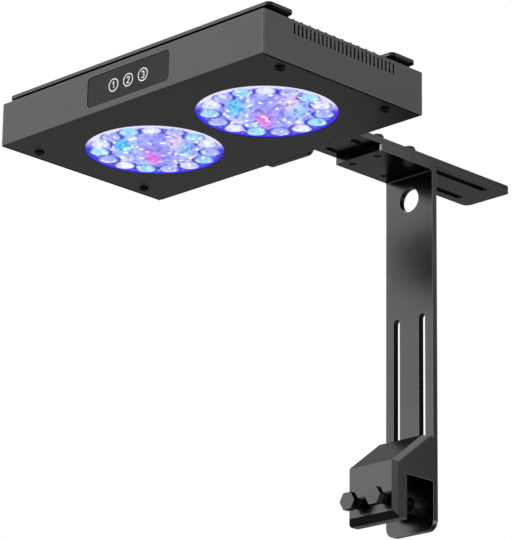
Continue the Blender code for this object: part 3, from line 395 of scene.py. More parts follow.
def past(tree, axis, start, end):
    """Mask that rises from 0 to 1 between two places along an axis."""
    return ranged(tree, parts_of(tree, "Object")[axis], start, end)


def facing(tree, axis, limits):
    """Mask that rises from 0 to 1 while a face's direction along an axis goes between two limits."""
    return ranged(tree, parts_of(tree, "Normal")[axis], *limits)


def corners(tree):
    """Mask of upright corners: the size of x times y of a face's direction, highest at 45 degrees."""
    way = parts_of(tree, "Normal")
    return ranged(tree, sum_of(tree, "ABSOLUTE", sum_of(tree, "MULTIPLY", way["X"], way["Y"])), *CORNER_FACES)


def overhang(tree):
    """Mask of faces that look forwards and down: there y times z of a face's direction is above 0."""
    way = parts_of(tree, "Normal")
    return ranged(tree, sum_of(tree, "MULTIPLY", way["Y"], way["Z"]), *OVERHANG_FACES)


def flanks(tree, top):
    """Mask of what lies below a height and doesn't look up: the sides of fins and necks, but not their tops."""
    return sum_of(tree, "MULTIPLY", past(tree, "Z", top, top - FIN_FADE), facing(tree, "Z", NOT_UPPER_FACES))


def within(tree, half_width):
    """Mask of what lies further in than a plate's own sides."""
    across = sum_of(tree, "ABSOLUTE", parts_of(tree, "Object")["X"])
    return ranged(tree, across, *(half_width - margin for margin in PLATE_MARGIN))


def cut_walls(tree, half_width):
    """Mask of the walls of slots and holes: faces that look sideways, within a plate's sides."""
    sideways = ranged(tree, sum_of(tree, "ABSOLUTE", parts_of(tree, "Normal")["X"]), *SIDE_FACES)
    return sum_of(tree, "MULTIPLY", sideways, within(tree, half_width))


def slot_ends(tree, half_width, floor_z):
    """Mask of the rear ends of the arm's slots: faces that look forwards, above a height and within the sides."""
    ends = sum_of(tree, "MULTIPLY", facing(tree, "Y", FRONT_FACES), within(tree, half_width))
    return sum_of(tree, "MULTIPLY", ends, past(tree, "Z", floor_z, floor_z + SLOT_FADE))


print("masks ready")

# %% [markdown]
# A mask changes a material by going between its shader and the coat's colour or roughness. Tops are sandblasted
# before they are coated: rougher, so that no soft box is mirrored whole in them. Bolt heads and the rails of the heat
# sink are darkened as painted shade where they don't look forwards, so only their fronts keep the full tone.

# %% Painted shade and finishes by place and direction
RAIL_THICKNESS = 0.0022
BOLT_HEAD = 0.0040
SHANK_FADE = 0.0004
CUT_SHADE = 0.12
OVERHANG_SHADE = 0.30
BOLT_SIDE_SHADE = 0.50
RAIL_SHADE = 0.53
FLANK_SHADE = 0.05
SHANK_SHADE = 0.24
UPPER_FACES = (0.90, 0.98)
TOP_ROUGHNESS = 0.62


def so_far(material, name):
    """Tree and shader of a coated material, and the socket that feeds one of the shader's inputs."""
    shader = material.node_tree.nodes["Principled BSDF"]
    return material.node_tree, shader, shader.inputs[name].links[0].from_socket


def paint_corner_highlight(material, pale_edge_tone):
    """Painted highlight: upright corners in a paler colour."""
    tree, shader, tone = so_far(material, "Base Color")
    feed(tree, shader, {"Base Color": mixed(tree, tone, (*colour(pale_edge_tone), 1), corners(tree))})


def paint_seam_shadow(material, seam_shadow):
    """Painted shadow: faces that look down get a black colour and no metal, as the shadow line along the seam."""
    tree, shader, tone = so_far(material, "Base Color")
    metal = facing(tree, "Z", NOT_LOWER_FACES)
    feed(tree, shader, {"Base Color": mixed(tree, (*colour(seam_shadow), 1), tone, metal), "Metallic": metal})


def darken(material, share, mask, *limits):
    """Painted shade: base colour scaled by a share where a mask, made with its limits, is 1."""
    tree, shader, tone = so_far(material, "Base Color")
    dark = mixed(tree, tone, grey(share), 1.0, "MULTIPLY")
    feed(tree, shader, {"Base Color": mixed(tree, tone, dark, mask(tree, *limits))})


def matt_above(material):
    """Rougher faces where they look up."""
    tree, shader, plain = so_far(material, "Roughness")
    level = ranged(tree, parts_of(tree, "Normal")["Z"], *UPPER_FACES, 0.0, TOP_ROUGHNESS)
    feed(tree, shader, {"Roughness": sum_of(tree, "MAXIMUM", plain, level)})


plate_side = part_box("reach_arm")[1].x
rail_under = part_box("heat_sink")[1].z - RAIL_THICKNESS
head_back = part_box("clamp_bolt_left")[0].y + BOLT_HEAD
# Painted highlight on the end panels' upright corners.
paint_corner_highlight(panel_coat, "d4d4d6")
# Painted shadow: the end panels' faces that look down are black, as the seam's shadow line.
paint_seam_shadow(panel_coat, "030303")
# Painted highlight on the upright corners of arm and post.
paint_corner_highlight(plate_coat, "848486")
# Painted shade: the walls of slots and holes, and the rear ends of the arm's slots, are darker.
darken(plate_coat, CUT_SHADE, cut_walls, plate_side)
darken(plate_coat, CUT_SHADE, slot_ends, plate_side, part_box("post_bracket")[1].z)
# Painted shade: the clamp's faces that look forwards and down are darker.
darken(block_coat, OVERHANG_SHADE, overhang)
# Painted shade: the faces of bolt heads that don't look forwards are darker.
darken(bolt_black, BOLT_SIDE_SHADE, facing, "Y", NOT_FRONT_FACES)
# Painted shade: the faces of the heat sink that don't look forwards are darker.
darken(sink_anodise, RAIL_SHADE, facing, "Y", NOT_FRONT_FACES)
# Painted shade: below the rails, fins and necks are nearly black except where they look up.
darken(sink_anodise, FLANK_SHADE, flanks, rail_under)
# Painted shade: the bolt shanks behind the heads are darker.
darken(bolt_black, SHANK_SHADE, past, "Y", head_back, head_back + SHANK_FADE)
for material in (panel_coat, sheet_coat, plate_coat, sink_anodise):
    matt_above(material)
print("plate nodes:", len(plate_coat.node_tree.nodes))

# %% [markdown]
# ## Edges that catch the light
# No edge of a real plate is perfectly sharp: a thin bright line runs along each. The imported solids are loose
# triangles, so a copy is merged, its flat stretches become single faces, and a Bevel modifier rounds what is sharper
# than a limit. Weighted normals keep the flats flat. The copy replaces its node and rides on the same body.

# %% Rounded copies of the plates
MERGE = 1e-6
FLAT_ANGLE = math.radians(0.5)
SMOOTH_ANGLE = math.radians(35)
EDGE_SEGMENTS = 3
FLAT_WEIGHT = 100


def finish_piece(mesh, body, material):
    """New piece of a mesh, with its material and body."""
    item = bpy.data.objects.new(mesh.name, mesh)
    bpy.context.scene.collection.objects.link(item)
    mesh.materials.append(material)
    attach(item, body)
    return item


def made(*endings):
    """How many pieces have a name with one of these endings."""
    return len([item for item in bpy.data.objects if item.name.endswith(endings)])


def stand_in(mesh, node, material):
    """New piece that replaces a node and takes over its body."""
    item = finish_piece(mesh, body_of[node], material)
    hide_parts(node)
    return item


def soften(node, width, material):
    """Copy of a solid whose sharp edges are rounded by the given width."""
    shape = bmesh.new()
    shape.from_mesh(frame["nodes"][node].data)
    bmesh.ops.remove_doubles(shape, verts=shape.verts, dist=MERGE)
    bmesh.ops.dissolve_limit(shape, angle_limit=FLAT_ANGLE, verts=shape.verts, edges=shape.edges)
    mesh = bpy.data.meshes.new(node + "_finished")
    shape.to_mesh(mesh)
    shape.free()
    mesh.shade_smooth()
    mesh.set_sharp_from_angle(angle=SMOOTH_ANGLE)
    item = stand_in(mesh, node, material)
    bevel = item.modifiers.new("rounded edges", "BEVEL")
    bevel.width = width
    bevel.segments = EDGE_SEGMENTS
    bevel.limit_method = "ANGLE"
    bevel.angle_limit = SMOOTH_ANGLE
    bevel.use_clamp_overlap = True
    flats = item.modifiers.new("flat faces", "WEIGHTED_NORMAL")
    flats.weight = FLAT_WEIGHT
    flats.keep_sharp = True


# node, width of its rounded edges, finish
soften("housing_shell", 0.00012, sheet_coat)
soften("end_panel_left", 0.00040, panel_coat)
soften("end_panel_right", 0.00040, panel_coat)
soften("heat_sink", 0.00030, sink_anodise)
soften("reach_arm", 0.00035, plate_coat)
soften("post_bracket", 0.00035, plate_coat)
soften("clamp_block", 0.00040, block_coat)
soften("control_overlay", 0.00012, panel_film)
print("rounded copies:", made("_finished"))

# %% [markdown]
# ## Surfaces of two parameters
# The remaining pieces are turned, threaded or domed. Each is a grid of points: one parameter runs along a profile,
# the other round an axis. numpy works out the whole grid at once.

# %% Grids of points
COLUMNS = 48
AXES = {
    "up": np.eye(3),
    "down": np.diag([1.0, -1.0, -1.0]),
    "rear": np.array([[1.0, 0, 0], [0, 0, 1], [0, -1, 0]]),
}


def box_of(node):
    """Lowest and highest corner of a node, and its middle."""
    low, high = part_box(node)
    return low, high, (low + high) / 2


def round_angles(columns):
    """Angles evenly round a full turn."""
    return np.arange(columns) * 2 * np.pi / columns


def turn(profile, columns=COLUMNS):
    """Surface (r cos a, r sin a, z): a profile has rows (r, z), and both may also change with the angle a."""
    radius, height = (np.array([np.broadcast_to(row[k], columns) for row in profile]) for k in (0, 1))
    angle = round_angles(columns)
    return np.stack([radius * np.cos(angle), radius * np.sin(angle), height], -1)


def set_down(points, axis, place):
    """Grid made along +Z, turned to look along an axis and moved to its place."""
    return points @ AXES[axis].T + np.asarray(place)


def hexagon(flats):
    """Radius of a hexagon at each angle a: half the flats over cos(a folded into -30 to 30 degrees)."""
    folded = (round_angles(COLUMNS) + np.pi / 6) % (np.pi / 3) - np.pi / 6
    return flats / 2 / np.cos(folded)


print("corners of a 10 mm hexagon:", hexagon(10).max().round(2))

# %% [markdown]
# A grid becomes a mesh of quads. Its columns close round the axis, the doubled points of seams and poles merge, open
# ends of four corners are filled, and all faces are turned outwards.

# %% Grids as meshes
END_CORNERS = 4


def grid_faces(rows, columns):
    """Quads of a grid that closes on itself along its columns: (i, j), (i, j+1), (i+1, j+1), (i+1, j)."""
    row, j = np.meshgrid(np.arange(rows - 1) * columns, np.arange(columns), indexing="ij")
    ahead = (j + 1) % columns
    return np.stack([row + j, row + ahead, row + columns + ahead, row + columns + j], -1).reshape(-1, 4)


def close_up(mesh, sharp=SMOOTH_ANGLE):
    """Merge doubled points, fill open ends, turn faces outwards, and shade smooth but for edges above an angle."""
    shape = bmesh.new()
    shape.from_mesh(mesh)
    bmesh.ops.remove_doubles(shape, verts=shape.verts, dist=MERGE)
    bmesh.ops.holes_fill(shape, edges=[edge for edge in shape.edges if edge.is_boundary], sides=END_CORNERS)
    bmesh.ops.recalc_face_normals(shape, faces=shape.faces)
    shape.to_mesh(mesh)
    shape.free()
    mesh.shade_smooth()
    mesh.set_sharp_from_angle(angle=sharp)
    return mesh


def surface_mesh(name, points, sharp=SMOOTH_ANGLE):
    """Closed mesh of a grid of points (rows, columns, 3)."""
    rows, columns, _ = points.shape
    mesh = bpy.data.meshes.new(name)
    mesh.from_pydata(points.reshape(-1, 3).tolist(), [], grid_faces(rows, columns).tolist())
    return close_up(mesh, sharp)


print("quads of a small grid:", len(grid_faces(3, COLUMNS)))

# %% [markdown]
# ## Clamp bolts
# A hexagon bolt is a thread and a head with a chamfered face. The thread is a radius that falls and rises along the
# shank, shifted by one pitch for each turn. The head's radius follows a hexagon, a twelfth of a turn puts its corners
# to both sides, and a cone cuts them.

# %% Clamp bolts
BOLT_RADIUS = 0.0030
BOLT_LENGTH = 0.0300
BOLT_FLATS = 0.0100
THREAD_PITCH = 0.0010
THREAD_DEPTH = 0.00058
THREAD_ROWS = 8
CORNER_TURN = COLUMNS // 12
HEAD_CONE = math.tan(math.radians(30))
HEAD_EDGE = 0.00012
CORNER_CUT = 1.10
BOLT_SHARP = math.radians(18)


def bolt_points():
    """Head below zero and shank above: thread radius R - d * tri(z / pitch - a / 2 pi), tri a triangle wave."""
    hexes = np.roll(hexagon(BOLT_FLATS), CORNER_TURN)
    face = np.minimum(hexes - HEAD_EDGE, BOLT_FLATS / 2 * CORNER_CUT)
    cut = (hexes - face) * HEAD_CONE
    height = np.linspace(0, BOLT_LENGTH, int(BOLT_LENGTH / THREAD_PITCH) * THREAD_ROWS + 1)[:, None]
    phase = height / THREAD_PITCH - np.arange(COLUMNS) / COLUMNS
    wave = np.abs(2 * (phase % 1) - 1)
    taper = np.clip((BOLT_LENGTH - height) / THREAD_PITCH, 0, 1)
    thread = BOLT_RADIUS - THREAD_DEPTH * np.maximum(wave, 1 - taper)
    return turn([(0, -BOLT_HEAD), (face, -BOLT_HEAD), (hexes, cut - BOLT_HEAD), (hexes, 0),
                 *zip(thread, height), (0, BOLT_LENGTH)])


for side in ("left", "right"):
    node = "clamp_bolt_" + side
    low, high, middle = box_of(node)
    points = set_down(bolt_points(), "rear", (middle.x, low.y + BOLT_HEAD, middle.z))
    bolt = stand_in(surface_mesh(node + "_threaded", points, BOLT_SHARP), node, bolt_black)
print("bolt faces:", len(bolt.data.polygons))

# %% [markdown]
# ## Screws
# The small screws have low round heads with a hexagon socket. Where the socket begins, the radius changes from a
# circle to a hexagon, so the same grid holds both. The crown of a head is part of an ellipse.

# %% Screws
TIP_SHARE = 0.25
HEAD_FOOT = (0.97, 0.06)
CROWN_SHARE = 0.55
CROWN_BEND = np.radians(np.linspace(15, 90, 6))
RIM_SHARE = 1.28
SOCKET_SHARE = 0.62
SOCKET_POINT = 1.15
SOCKET_EDGE = 0.02


def screw_points(radius, length, head_radius, head_height, socket_flats):
    """Screw along Z with its head above zero: shank, rounded head, then a hexagon socket down into the head."""
    socket = hexagon(socket_flats)
    rim = socket_flats / 2 * RIM_SHARE
    depth = head_height * SOCKET_SHARE
    tip = radius * TIP_SHARE
    crown = head_height * CROWN_SHARE
    bend = zip(rim + (head_radius - rim) * np.cos(CROWN_BEND), head_height - crown + crown * np.sin(CROWN_BEND))
    return turn([(0, -length), (radius - tip, -length), (radius, tip - length), (radius, 0),
                 (head_radius * HEAD_FOOT[0], 0), (head_radius, head_height * HEAD_FOOT[1]),
                 (head_radius, head_height - crown), *bend, (socket, head_height - crown * SOCKET_EDGE),
                 (socket, head_height - depth), (0, head_height - depth * SOCKET_POINT)])


def fit_screw(node, axis, material, radius, head_height, socket_flats):
    """Screw piece in the place of a screw node, whose head looks along the axis."""
    low, high, middle = box_of(node)
    size = high - low
    length = (size.y if axis == "rear" else size.z) - head_height
    spot = {"up": (middle.x, middle.y, high.z - head_height), "down": (middle.x, middle.y, low.z + head_height),
            "rear": (middle.x, high.y - head_height, middle.z)}[axis]
    points = screw_points(radius, length, size.x / 2, head_height, socket_flats)
    stand_in(surface_mesh(node + "_socket", set_down(points, axis, spot)), node, material)


# radius of the shank, height of the head, flats of the socket
LOCK_SCREW = (0.0020, 0.0038, 0.0030)
LOW_SCREW = (0.0020, 0.0030, 0.0030)
SMALL_SCREW = (0.0015, 0.0013, 0.0022)
for number in range(1, 5):
    fit_screw(f"arm_lock_screw_{number}", "up", cap_black, *LOCK_SCREW)
    fit_screw(f"arm_leg_screw_{number}", "rear", cap_black, *LOW_SCREW)
    fit_screw(f"bottom_screw_{number}", "down", screw_black, *SMALL_SCREW)
for number in (1, 2):
    fit_screw(f"clamp_slide_screw_{number}", "rear", cap_black, *LOW_SCREW)
print("screws:", made("_socket"))

# %% [markdown]
# ## Washers and pads
# Both are plain turned profiles. A washer is a flat ring with rounded rims. A pad is a rubber cup on a bolt's tip,
# with rings pressed into the face that grips the glass: there the height falls and rises with a cosine.

# %% Washers and pads
WASHER_HOLE = 0.0023
WASHER_EDGE = 0.00015
PAD_CLEARANCE = 0.0003
PAD_FLOOR = 0.0025
PAD_EDGE = 0.0003
PAD_RIM = 0.0009
PAD_RIM_END = 84
PAD_BUTTON = 0.001
PAD_RINGS = 3
PAD_ROWS = 25
PAD_GROOVE = 0.0004


def arc(centre_u, centre_v, radius, start, end, steps=6):
    """Points of an arc in a plane, with angles in degrees from the first axis towards the second."""
    angle = np.radians(np.linspace(start, end, steps))
    return np.stack([centre_u + radius * np.cos(angle), centre_v + radius * np.sin(angle)], -1)


def fit_washer(node, axis):
    """Flat ring in the place of a washer node, with rims rounded by a small arc."""
    low, high, middle = box_of(node)
    thick = min(high - low)
    edge = WASHER_EDGE
    hole = WASHER_HOLE + edge
    outer = max(high - low) / 2 - edge
    top = thick - edge
    profile = [(WASHER_HOLE, thick / 2), *arc(hole, top, edge, 180, 90), *arc(outer, top, edge, 90, 0),
               *arc(outer, edge, edge, 0, -90), *arc(hole, edge, edge, 270, 180), (WASHER_HOLE, thick / 2)]
    points = set_down(turn(np.array(profile) - (0, thick / 2)), axis, middle)
    stand_in(surface_mesh(node + "_ring", points), node, screw_black)


def fit_pad(node):
    """Rubber cup on a bolt's tip: a socket behind, a rounded rim, and rings pressed into the face."""
    low, high, middle = box_of(node)
    outer = (high.x - low.x) / 2
    length = high.y - low.y
    socket = BOLT_RADIUS + PAD_CLEARANCE
    floor_z = length - PAD_FLOOR
    rings = np.linspace(PAD_BUTTON, outer - PAD_RIM, PAD_ROWS)
    waves = PAD_RINGS * (rings - rings[0]) / (rings[-1] - rings[0])
    ripple = length - PAD_GROOVE * (0.5 - 0.5 * np.cos(2 * np.pi * waves))
    profile = [(0, floor_z), (socket, floor_z), (socket, 0), (outer - PAD_EDGE, 0), (outer, PAD_EDGE),
               *arc(outer - PAD_RIM, length - PAD_RIM, PAD_RIM, 0, PAD_RIM_END),
               *zip(rings[::-1], ripple[::-1]), (0, length)]
    points = set_down(turn(profile), "rear", (middle.x, low.y, middle.z))
    stand_in(surface_mesh(node + "_cup", points), node, pad_rubber)


for number in range(1, 5):
    fit_washer(f"arm_lock_washer_{number}", "up")
for number in (1, 2):
    fit_washer(f"clamp_slide_washer_{number}", "rear")
for side in ("left", "right"):
    fit_pad("clamp_pad_" + side)
print("washers and pads:", made("_ring", "_cup"))

# %% [markdown]
# ## Power inlet
# The socket in the rear wall is a turned body with a pin in its bore, held by a ring nut. Shallow flutes round the
# nut give fingers a grip: its radius dips with a cosine, once for each flute.

# %% Power inlet
INLET_COLUMNS = 96
INLET_BODY = 0.0040
INLET_MOUTH = 0.0031
INLET_BORE = 0.0028
INLET_FLOOR = 0.0015
PIN_RADIUS = 0.0010
PIN_TIP = 0.0007
PIN_TAPER = 0.0004
PIN_DROP = 0.0010
NUT_THICKNESS = 0.0022
NUT_FLUTES = 24
NUT_DEPTH = 0.00035
NUT_EDGE = 0.0003
NUT_BEVEL = 0.0005

low, high, middle = box_of("dc_inlet")
face = high.y - low.y
nut_back = face - NUT_THICKNESS
pin_end = face - PIN_DROP
flutes = (high.x - low.x) / 2 - NUT_DEPTH * (0.5 + 0.5 * np.cos(NUT_FLUTES * round_angles(INLET_COLUMNS))) ** 2
profile = [(0, 0), (INLET_BODY, 0), (INLET_BODY, nut_back), (flutes - NUT_EDGE, nut_back),
           (flutes, nut_back + NUT_EDGE), (flutes, face - NUT_BEVEL), (flutes - NUT_BEVEL, face),
           (INLET_MOUTH, face), (INLET_BORE, face - INLET_MOUTH + INLET_BORE), (INLET_BORE, INLET_FLOOR),
           (PIN_RADIUS, INLET_FLOOR), (PIN_RADIUS, pin_end - PIN_TAPER), (PIN_TIP, pin_end), (0, pin_end)]
points = set_down(turn(profile, INLET_COLUMNS), "rear", (middle.x, low.y, middle.z))
inlet = stand_in(surface_mesh("dc_inlet_socket", points), "dc_inlet", inlet_moulding)
print("inlet faces:", len(inlet.data.polygons))

# %% [markdown]
# ## Lens windows
# Each window is a clear plate with one lens in the middle and two rings round it, and an emitter deep behind each
# lens. White, cyan and violet emitters take turns on the outer ring, and the inner ring mixes them. A lens throws its
# light sideways through the plate, so a streak of its colour leans from it, and the gaps beside it stay deep blue.
# Refraction could be traced, but it is slow and lost in an export. Here the light is worked out once, as a colour at
# each point of a fine grid.

# %% Lens layout
LENS_RADIUS = 0.0059
OUTER_LENSES = 15
OUTER_RING = 0.0320
OUTER_PHASE = math.radians(1.0)
INNER_LENSES = 8
INNER_RING = 0.01701
INNER_PHASE = math.radians(5.0)
LIGHTS = {
    "white": colour("fcfbfc"), "cyan": colour("9cecf6"), "violet": colour("aeb8f4"), "aqua": colour("3fe6ec"),
    "blush": colour("fadcee"), "lavender": colour("a6a8f4"), "magenta": colour("ff5fd2"), "ice": colour("c4d4f8"),
}
OUTER_LIGHTS = ("cyan", "white", "violet")
INNER_LIGHTS = ("blush", "cyan", "violet", "magenta", "ice", "aqua", "ice", "lavender")
INNER_STRENGTH = (2.4, 1.2, 0.6, 1.4, 1.2, 2.2, 1.4, 0.6)
CENTRE_LIGHT = "lavender"
CENTRE_STRENGTH = 0.8


def ring_of(count, ring, phase, lights):
    """Places (u, v) evenly round a ring, and the light of each in turn."""
    angle = phase + round_angles(count)
    return np.stack([ring * np.cos(angle), ring * np.sin(angle)], -1), [lights[i % len(lights)] for i in range(count)]


inner_places, inner_lights = ring_of(INNER_LENSES, INNER_RING, INNER_PHASE, INNER_LIGHTS)
outer_places, outer_lights = ring_of(OUTER_LENSES, OUTER_RING, OUTER_PHASE, OUTER_LIGHTS)
lens_places = np.concatenate([[(0.0, 0.0)], inner_places, outer_places])
lens_lights = np.array([LIGHTS[light] for light in [CENTRE_LIGHT, *inner_lights, *outer_lights]])
lens_strength = np.r_[CENTRE_STRENGTH, INNER_STRENGTH, np.ones(OUTER_LENSES)]
print("lenses in a window:", len(lens_places))

# %% [markdown]
# The plate's light is a mean of all the lenses' colours, each weighted by a streak that falls off to both sides. The
# gaps round the outer lenses are deep blue: all round a lens on the window's far side, and beside it on the near
# side. The margin turns from pale to pure blue round the window.

# %% Light in the plate
LEAN = np.array([1.0, -1.0]) / math.sqrt(2)
ACROSS = np.array([1.0, 1.0]) / math.sqrt(2)
STREAK_LENGTH = 0.0100
STREAK_WIDTH = 0.0036
HAZE_WEIGHT = 0.50
HAZE = colour("a8a4f6")
GAP_BLUE = colour("1d15c4")
GAP_RADIUS = 1.10
GAP_WIDTH = 0.15
GAP_COVERED = 0.6
GAP_BESIDE = 0.9
GAP_FOCUS = 4
GAP_GAIN = 1.5
GAP_MOST = 0.96
FAR_LENSES = (0.25, -0.35)
MARGIN_BLUE = colour("2d24e2")
MARGIN_PALE = colour("e4e2fa")
MARGIN_TURN = (-0.42, 0.0)
MARGIN_START = (0.87, 0.94)
TINY = 1e-9


def smooth_step(start, end, value):
    """Rise from 0 at start to 1 at end, level at both: 3 t^2 - 2 t^3."""
    t = np.clip((value - start) / (end - start), 0, 1)
    return t * t * (3 - 2 * t)


def blend_to(base, target, share):
    """Colours moved from base to target by a share at each point."""
    return base + (target - base) * share[..., None]


def plate_light(places, edge):
    """Colour at each place (u, v): streak weight exp(-(side / w)^2 - ((along - l / 2) / l)^2), gaps and margin."""
    offset = places[:, None] - lens_places[None]
    along = offset @ LEAN
    side = offset @ ACROSS
    fall_off = (side / STREAK_WIDTH) ** 2 + ((along - STREAK_LENGTH / 2) / STREAK_LENGTH) ** 2
    streak = np.exp(-fall_off) * lens_strength
    light = (streak @ lens_lights + HAZE_WEIGHT * HAZE) / (streak.sum(1) + HAZE_WEIGHT)[:, None]
    distance = np.maximum(np.linalg.norm(offset, axis=-1), TINY)[:, -OUTER_LENSES:]
    beside = (np.abs(side[:, -OUTER_LENSES:]) / distance) ** GAP_FOCUS
    ahead = np.clip(along[:, -OUTER_LENSES:] / distance, 0, 1)
    far_lens = smooth_step(*FAR_LENSES, outer_places @ LEAN / OUTER_RING)
    outline = np.exp(-((distance / LENS_RADIUS - GAP_RADIUS) / GAP_WIDTH) ** 2)
    gap = outline * (far_lens * (1 - GAP_COVERED * ahead) + (1 - far_lens) * GAP_BESIDE * beside)
    light = blend_to(light, GAP_BLUE, np.clip(GAP_GAIN * gap.max(1), 0, GAP_MOST))
    reach = np.linalg.norm(places, axis=1)
    far_side = smooth_step(*MARGIN_TURN, -(places @ LEAN) / np.maximum(reach, TINY))
    return blend_to(light, blend_to(MARGIN_PALE, MARGIN_BLUE, far_side), smooth_step(*MARGIN_START, reach / edge))


print("light in the middle:", plate_light(np.zeros((1, 2)), 1.0).round(2))

# %% [markdown]
# The plate is turned: a flat face with many rows for its light, a flange behind the sheet, and a skirt up to the
# board. Heights count from the face, up into the lamp. Its points carry the light and the strength of facets.

# %% Lens plate
PLATE_LIFT = 0.0008
PLATE_ROWS = 72
PLATE_COLUMNS = 240
PLATE_FLANGE = 0.0047
PLATE_EDGE = 0.0001
FLANGE_Z = 0.0024
INSIDE_Z = 0.0033
SKIRT_WALL = 0.0020
FACET_FADE = (0.80, 0.90)


def give_light(mesh, colours, facets):
    """Colour attribute light and value attribute facets on a mesh, one of each for each point."""
    attribute = mesh.color_attributes.new("light", "FLOAT_COLOR", "POINT")
    values = np.concatenate([colours, np.ones((len(colours), 1))], 1)
    attribute.data.foreach_set("color", values.astype(np.float32).ravel())
    mesh.attributes.new("facets", "FLOAT", "POINT").data.foreach_set("value", facets.astype(np.float32))


def lens_plate(name, window, boss, flange, top):
    """Turned plate with its light, worked out at each point about the window's middle."""
    inner = flange - SKIRT_WALL
    radius = np.r_[np.linspace(0, boss - PLATE_EDGE, PLATE_ROWS), boss, boss, flange, flange, inner, inner, 0]
    height = np.r_[np.zeros(PLATE_ROWS), PLATE_EDGE, FLANGE_Z, FLANGE_Z, top, top, INSIDE_Z, INSIDE_Z]
    mesh = surface_mesh(name, turn(np.c_[radius, height], PLATE_COLUMNS) + window)
    points = np.zeros(len(mesh.vertices) * 3, np.float32)
    mesh.vertices.foreach_get("co", points)
    places = points.reshape(-1, 3)[:, :2] - window[:2]
    facets = 1 - smooth_step(*FACET_FADE, np.linalg.norm(places, axis=1) / boss)
    give_light(mesh, plate_light(places, boss), facets)
    return mesh


print("points across the plate's face:", PLATE_ROWS * PLATE_COLUMNS)

# %% [markdown]
# An outer lens is a small picture of its emitter: a spot of colour in its near half, a white glint on either side,
# and a blue rim where it looks into the gap.

# %% Light in the outer lenses
LENS_PALE = colour("b9c2f8")
LENS_VIOLET = colour("b8a6f8")
SPOT_PLACE = 0.25
SPOT_SIZE = (0.50, 0.62)
SPOT_LEAST = 0.55
VIOLET_SHARE = 0.55
VIOLET_ALONG = (-0.15, -0.75)
VIOLET_ACROSS = (0.75, 0.25)
GLINT_SEED = 7
GLINT_STRENGTH = (0.3, 1.0)
GLINT_PLACE = (0.56, -0.15)
GLINT_SIZE = (0.16, 0.30)
RIM_BLUE = 0.9
RIM_REACH = (0.84, 1.0)
RIM_ALONG = (0.45, -0.25)
RIM_END_REACH = (0.78, 1.0)
RIM_END_ACROSS = (0.55, 0.80)


def outer_light(local):
    """Colours of the outer lenses at places in shares of the radius: spot, glints and rim as smooth bumps."""
    along = local @ LEAN
    side = local @ ACROSS
    reach = np.linalg.norm(local, axis=-1)
    lights = lens_lights[-OUTER_LENSES:, None]
    strength = np.random.default_rng(GLINT_SEED).uniform(*GLINT_STRENGTH, (OUTER_LENSES, 2))
    spot = np.exp(-(side / SPOT_SIZE[0]) ** 2 - ((along - SPOT_PLACE) / SPOT_SIZE[1]) ** 2)
    light = LENS_PALE + (lights - LENS_PALE) * (SPOT_LEAST + (1 - SPOT_LEAST) * spot)[None, :, None]
    low = VIOLET_SHARE * smooth_step(*VIOLET_ALONG, along) * smooth_step(*VIOLET_ACROSS, np.abs(side))
    light = blend_to(light, LENS_VIOLET, np.broadcast_to(low, light.shape[:2]))
    across = (np.abs(side) - GLINT_PLACE[0]) / GLINT_SIZE[0]
    bump = np.exp(-across ** 2 - ((along - GLINT_PLACE[1]) / GLINT_SIZE[1]) ** 2)
    glint = bump[None] * np.where(side[None] < 0, strength[:, :1], strength[:, 1:])
    light = blend_to(light, np.ones(3), glint)
    ends = smooth_step(*RIM_END_REACH, reach) * smooth_step(*RIM_END_ACROSS, np.abs(side))
    rim = np.maximum(smooth_step(*RIM_REACH, reach) * smooth_step(*RIM_ALONG, along), ends)
    return blend_to(light, GAP_BLUE, np.broadcast_to(RIM_BLUE * rim, light.shape[:2]))


print("lights in turn:", OUTER_LIGHTS)

# %% [markdown]
# The domes are shallow caps, all of a window's in one mesh. An inner lens shows the plate's light.

# %% Lens domes
LENS_SAG = 0.00078
LENS_ROOT = 0.0003
LENS_ROWS = 16
LENS_COLUMNS = 40
OUTER_FACETS = 0.60


def dome_points():
    """Spherical cap of radius R with sag s: sphere radius (R^2 + s^2) / 2s, bulging down, closed by its root."""
    sphere = (LENS_RADIUS ** 2 + LENS_SAG ** 2) / (2 * LENS_SAG)
    tilt = np.linspace(0, math.asin(LENS_RADIUS / sphere), LENS_ROWS)
    radius = np.r_[sphere * np.sin(tilt), LENS_RADIUS, 0]
    height = np.r_[sphere - LENS_SAG - sphere * np.cos(tilt), LENS_ROOT, LENS_ROOT]
    return turn(np.c_[radius, height], LENS_COLUMNS)


def lens_domes(name, window, boss):
    """All the domes of a window as one mesh, with the light of each point."""
    dome = dome_points()
    rows, columns, _ = dome.shape
    count = len(lens_places)
    middles = np.c_[lens_places, np.zeros(count)] + window
    points = (dome[None] + middles[:, None, None]).reshape(-1, 3)
    first_points = (np.arange(count) * rows * columns)[:, None, None]
    faces = (grid_faces(rows, columns)[None] + first_points).reshape(-1, 4)
    light = plate_light(points[:, :2] - window[:2], boss).reshape(count, -1, 3)
    light[-OUTER_LENSES:] = outer_light(dome[..., :2].reshape(-1, 2) / LENS_RADIUS)
    facets = np.r_[np.ones(count - OUTER_LENSES), np.full(OUTER_LENSES, OUTER_FACETS)]
    mesh = bpy.data.meshes.new(name)
    mesh.from_pydata(points.tolist(), [], faces.tolist())
    give_light(mesh, light.reshape(-1, 3), np.repeat(facets, rows * columns))
    return close_up(mesh)


print("dome grid:", dome_points().shape)

# %% [markdown]
# The light is the shader's emission, so the windows glow by themselves. A Voronoi pattern, lengthened along the
# streaks, breaks it into facets: most are a shade bluer, and a few are white sparks. The attribute facets says how
# strong they are: full in the middle, weaker on the outer lenses, none on the margin. A clear, smooth surface adds
# the studio's reflections.

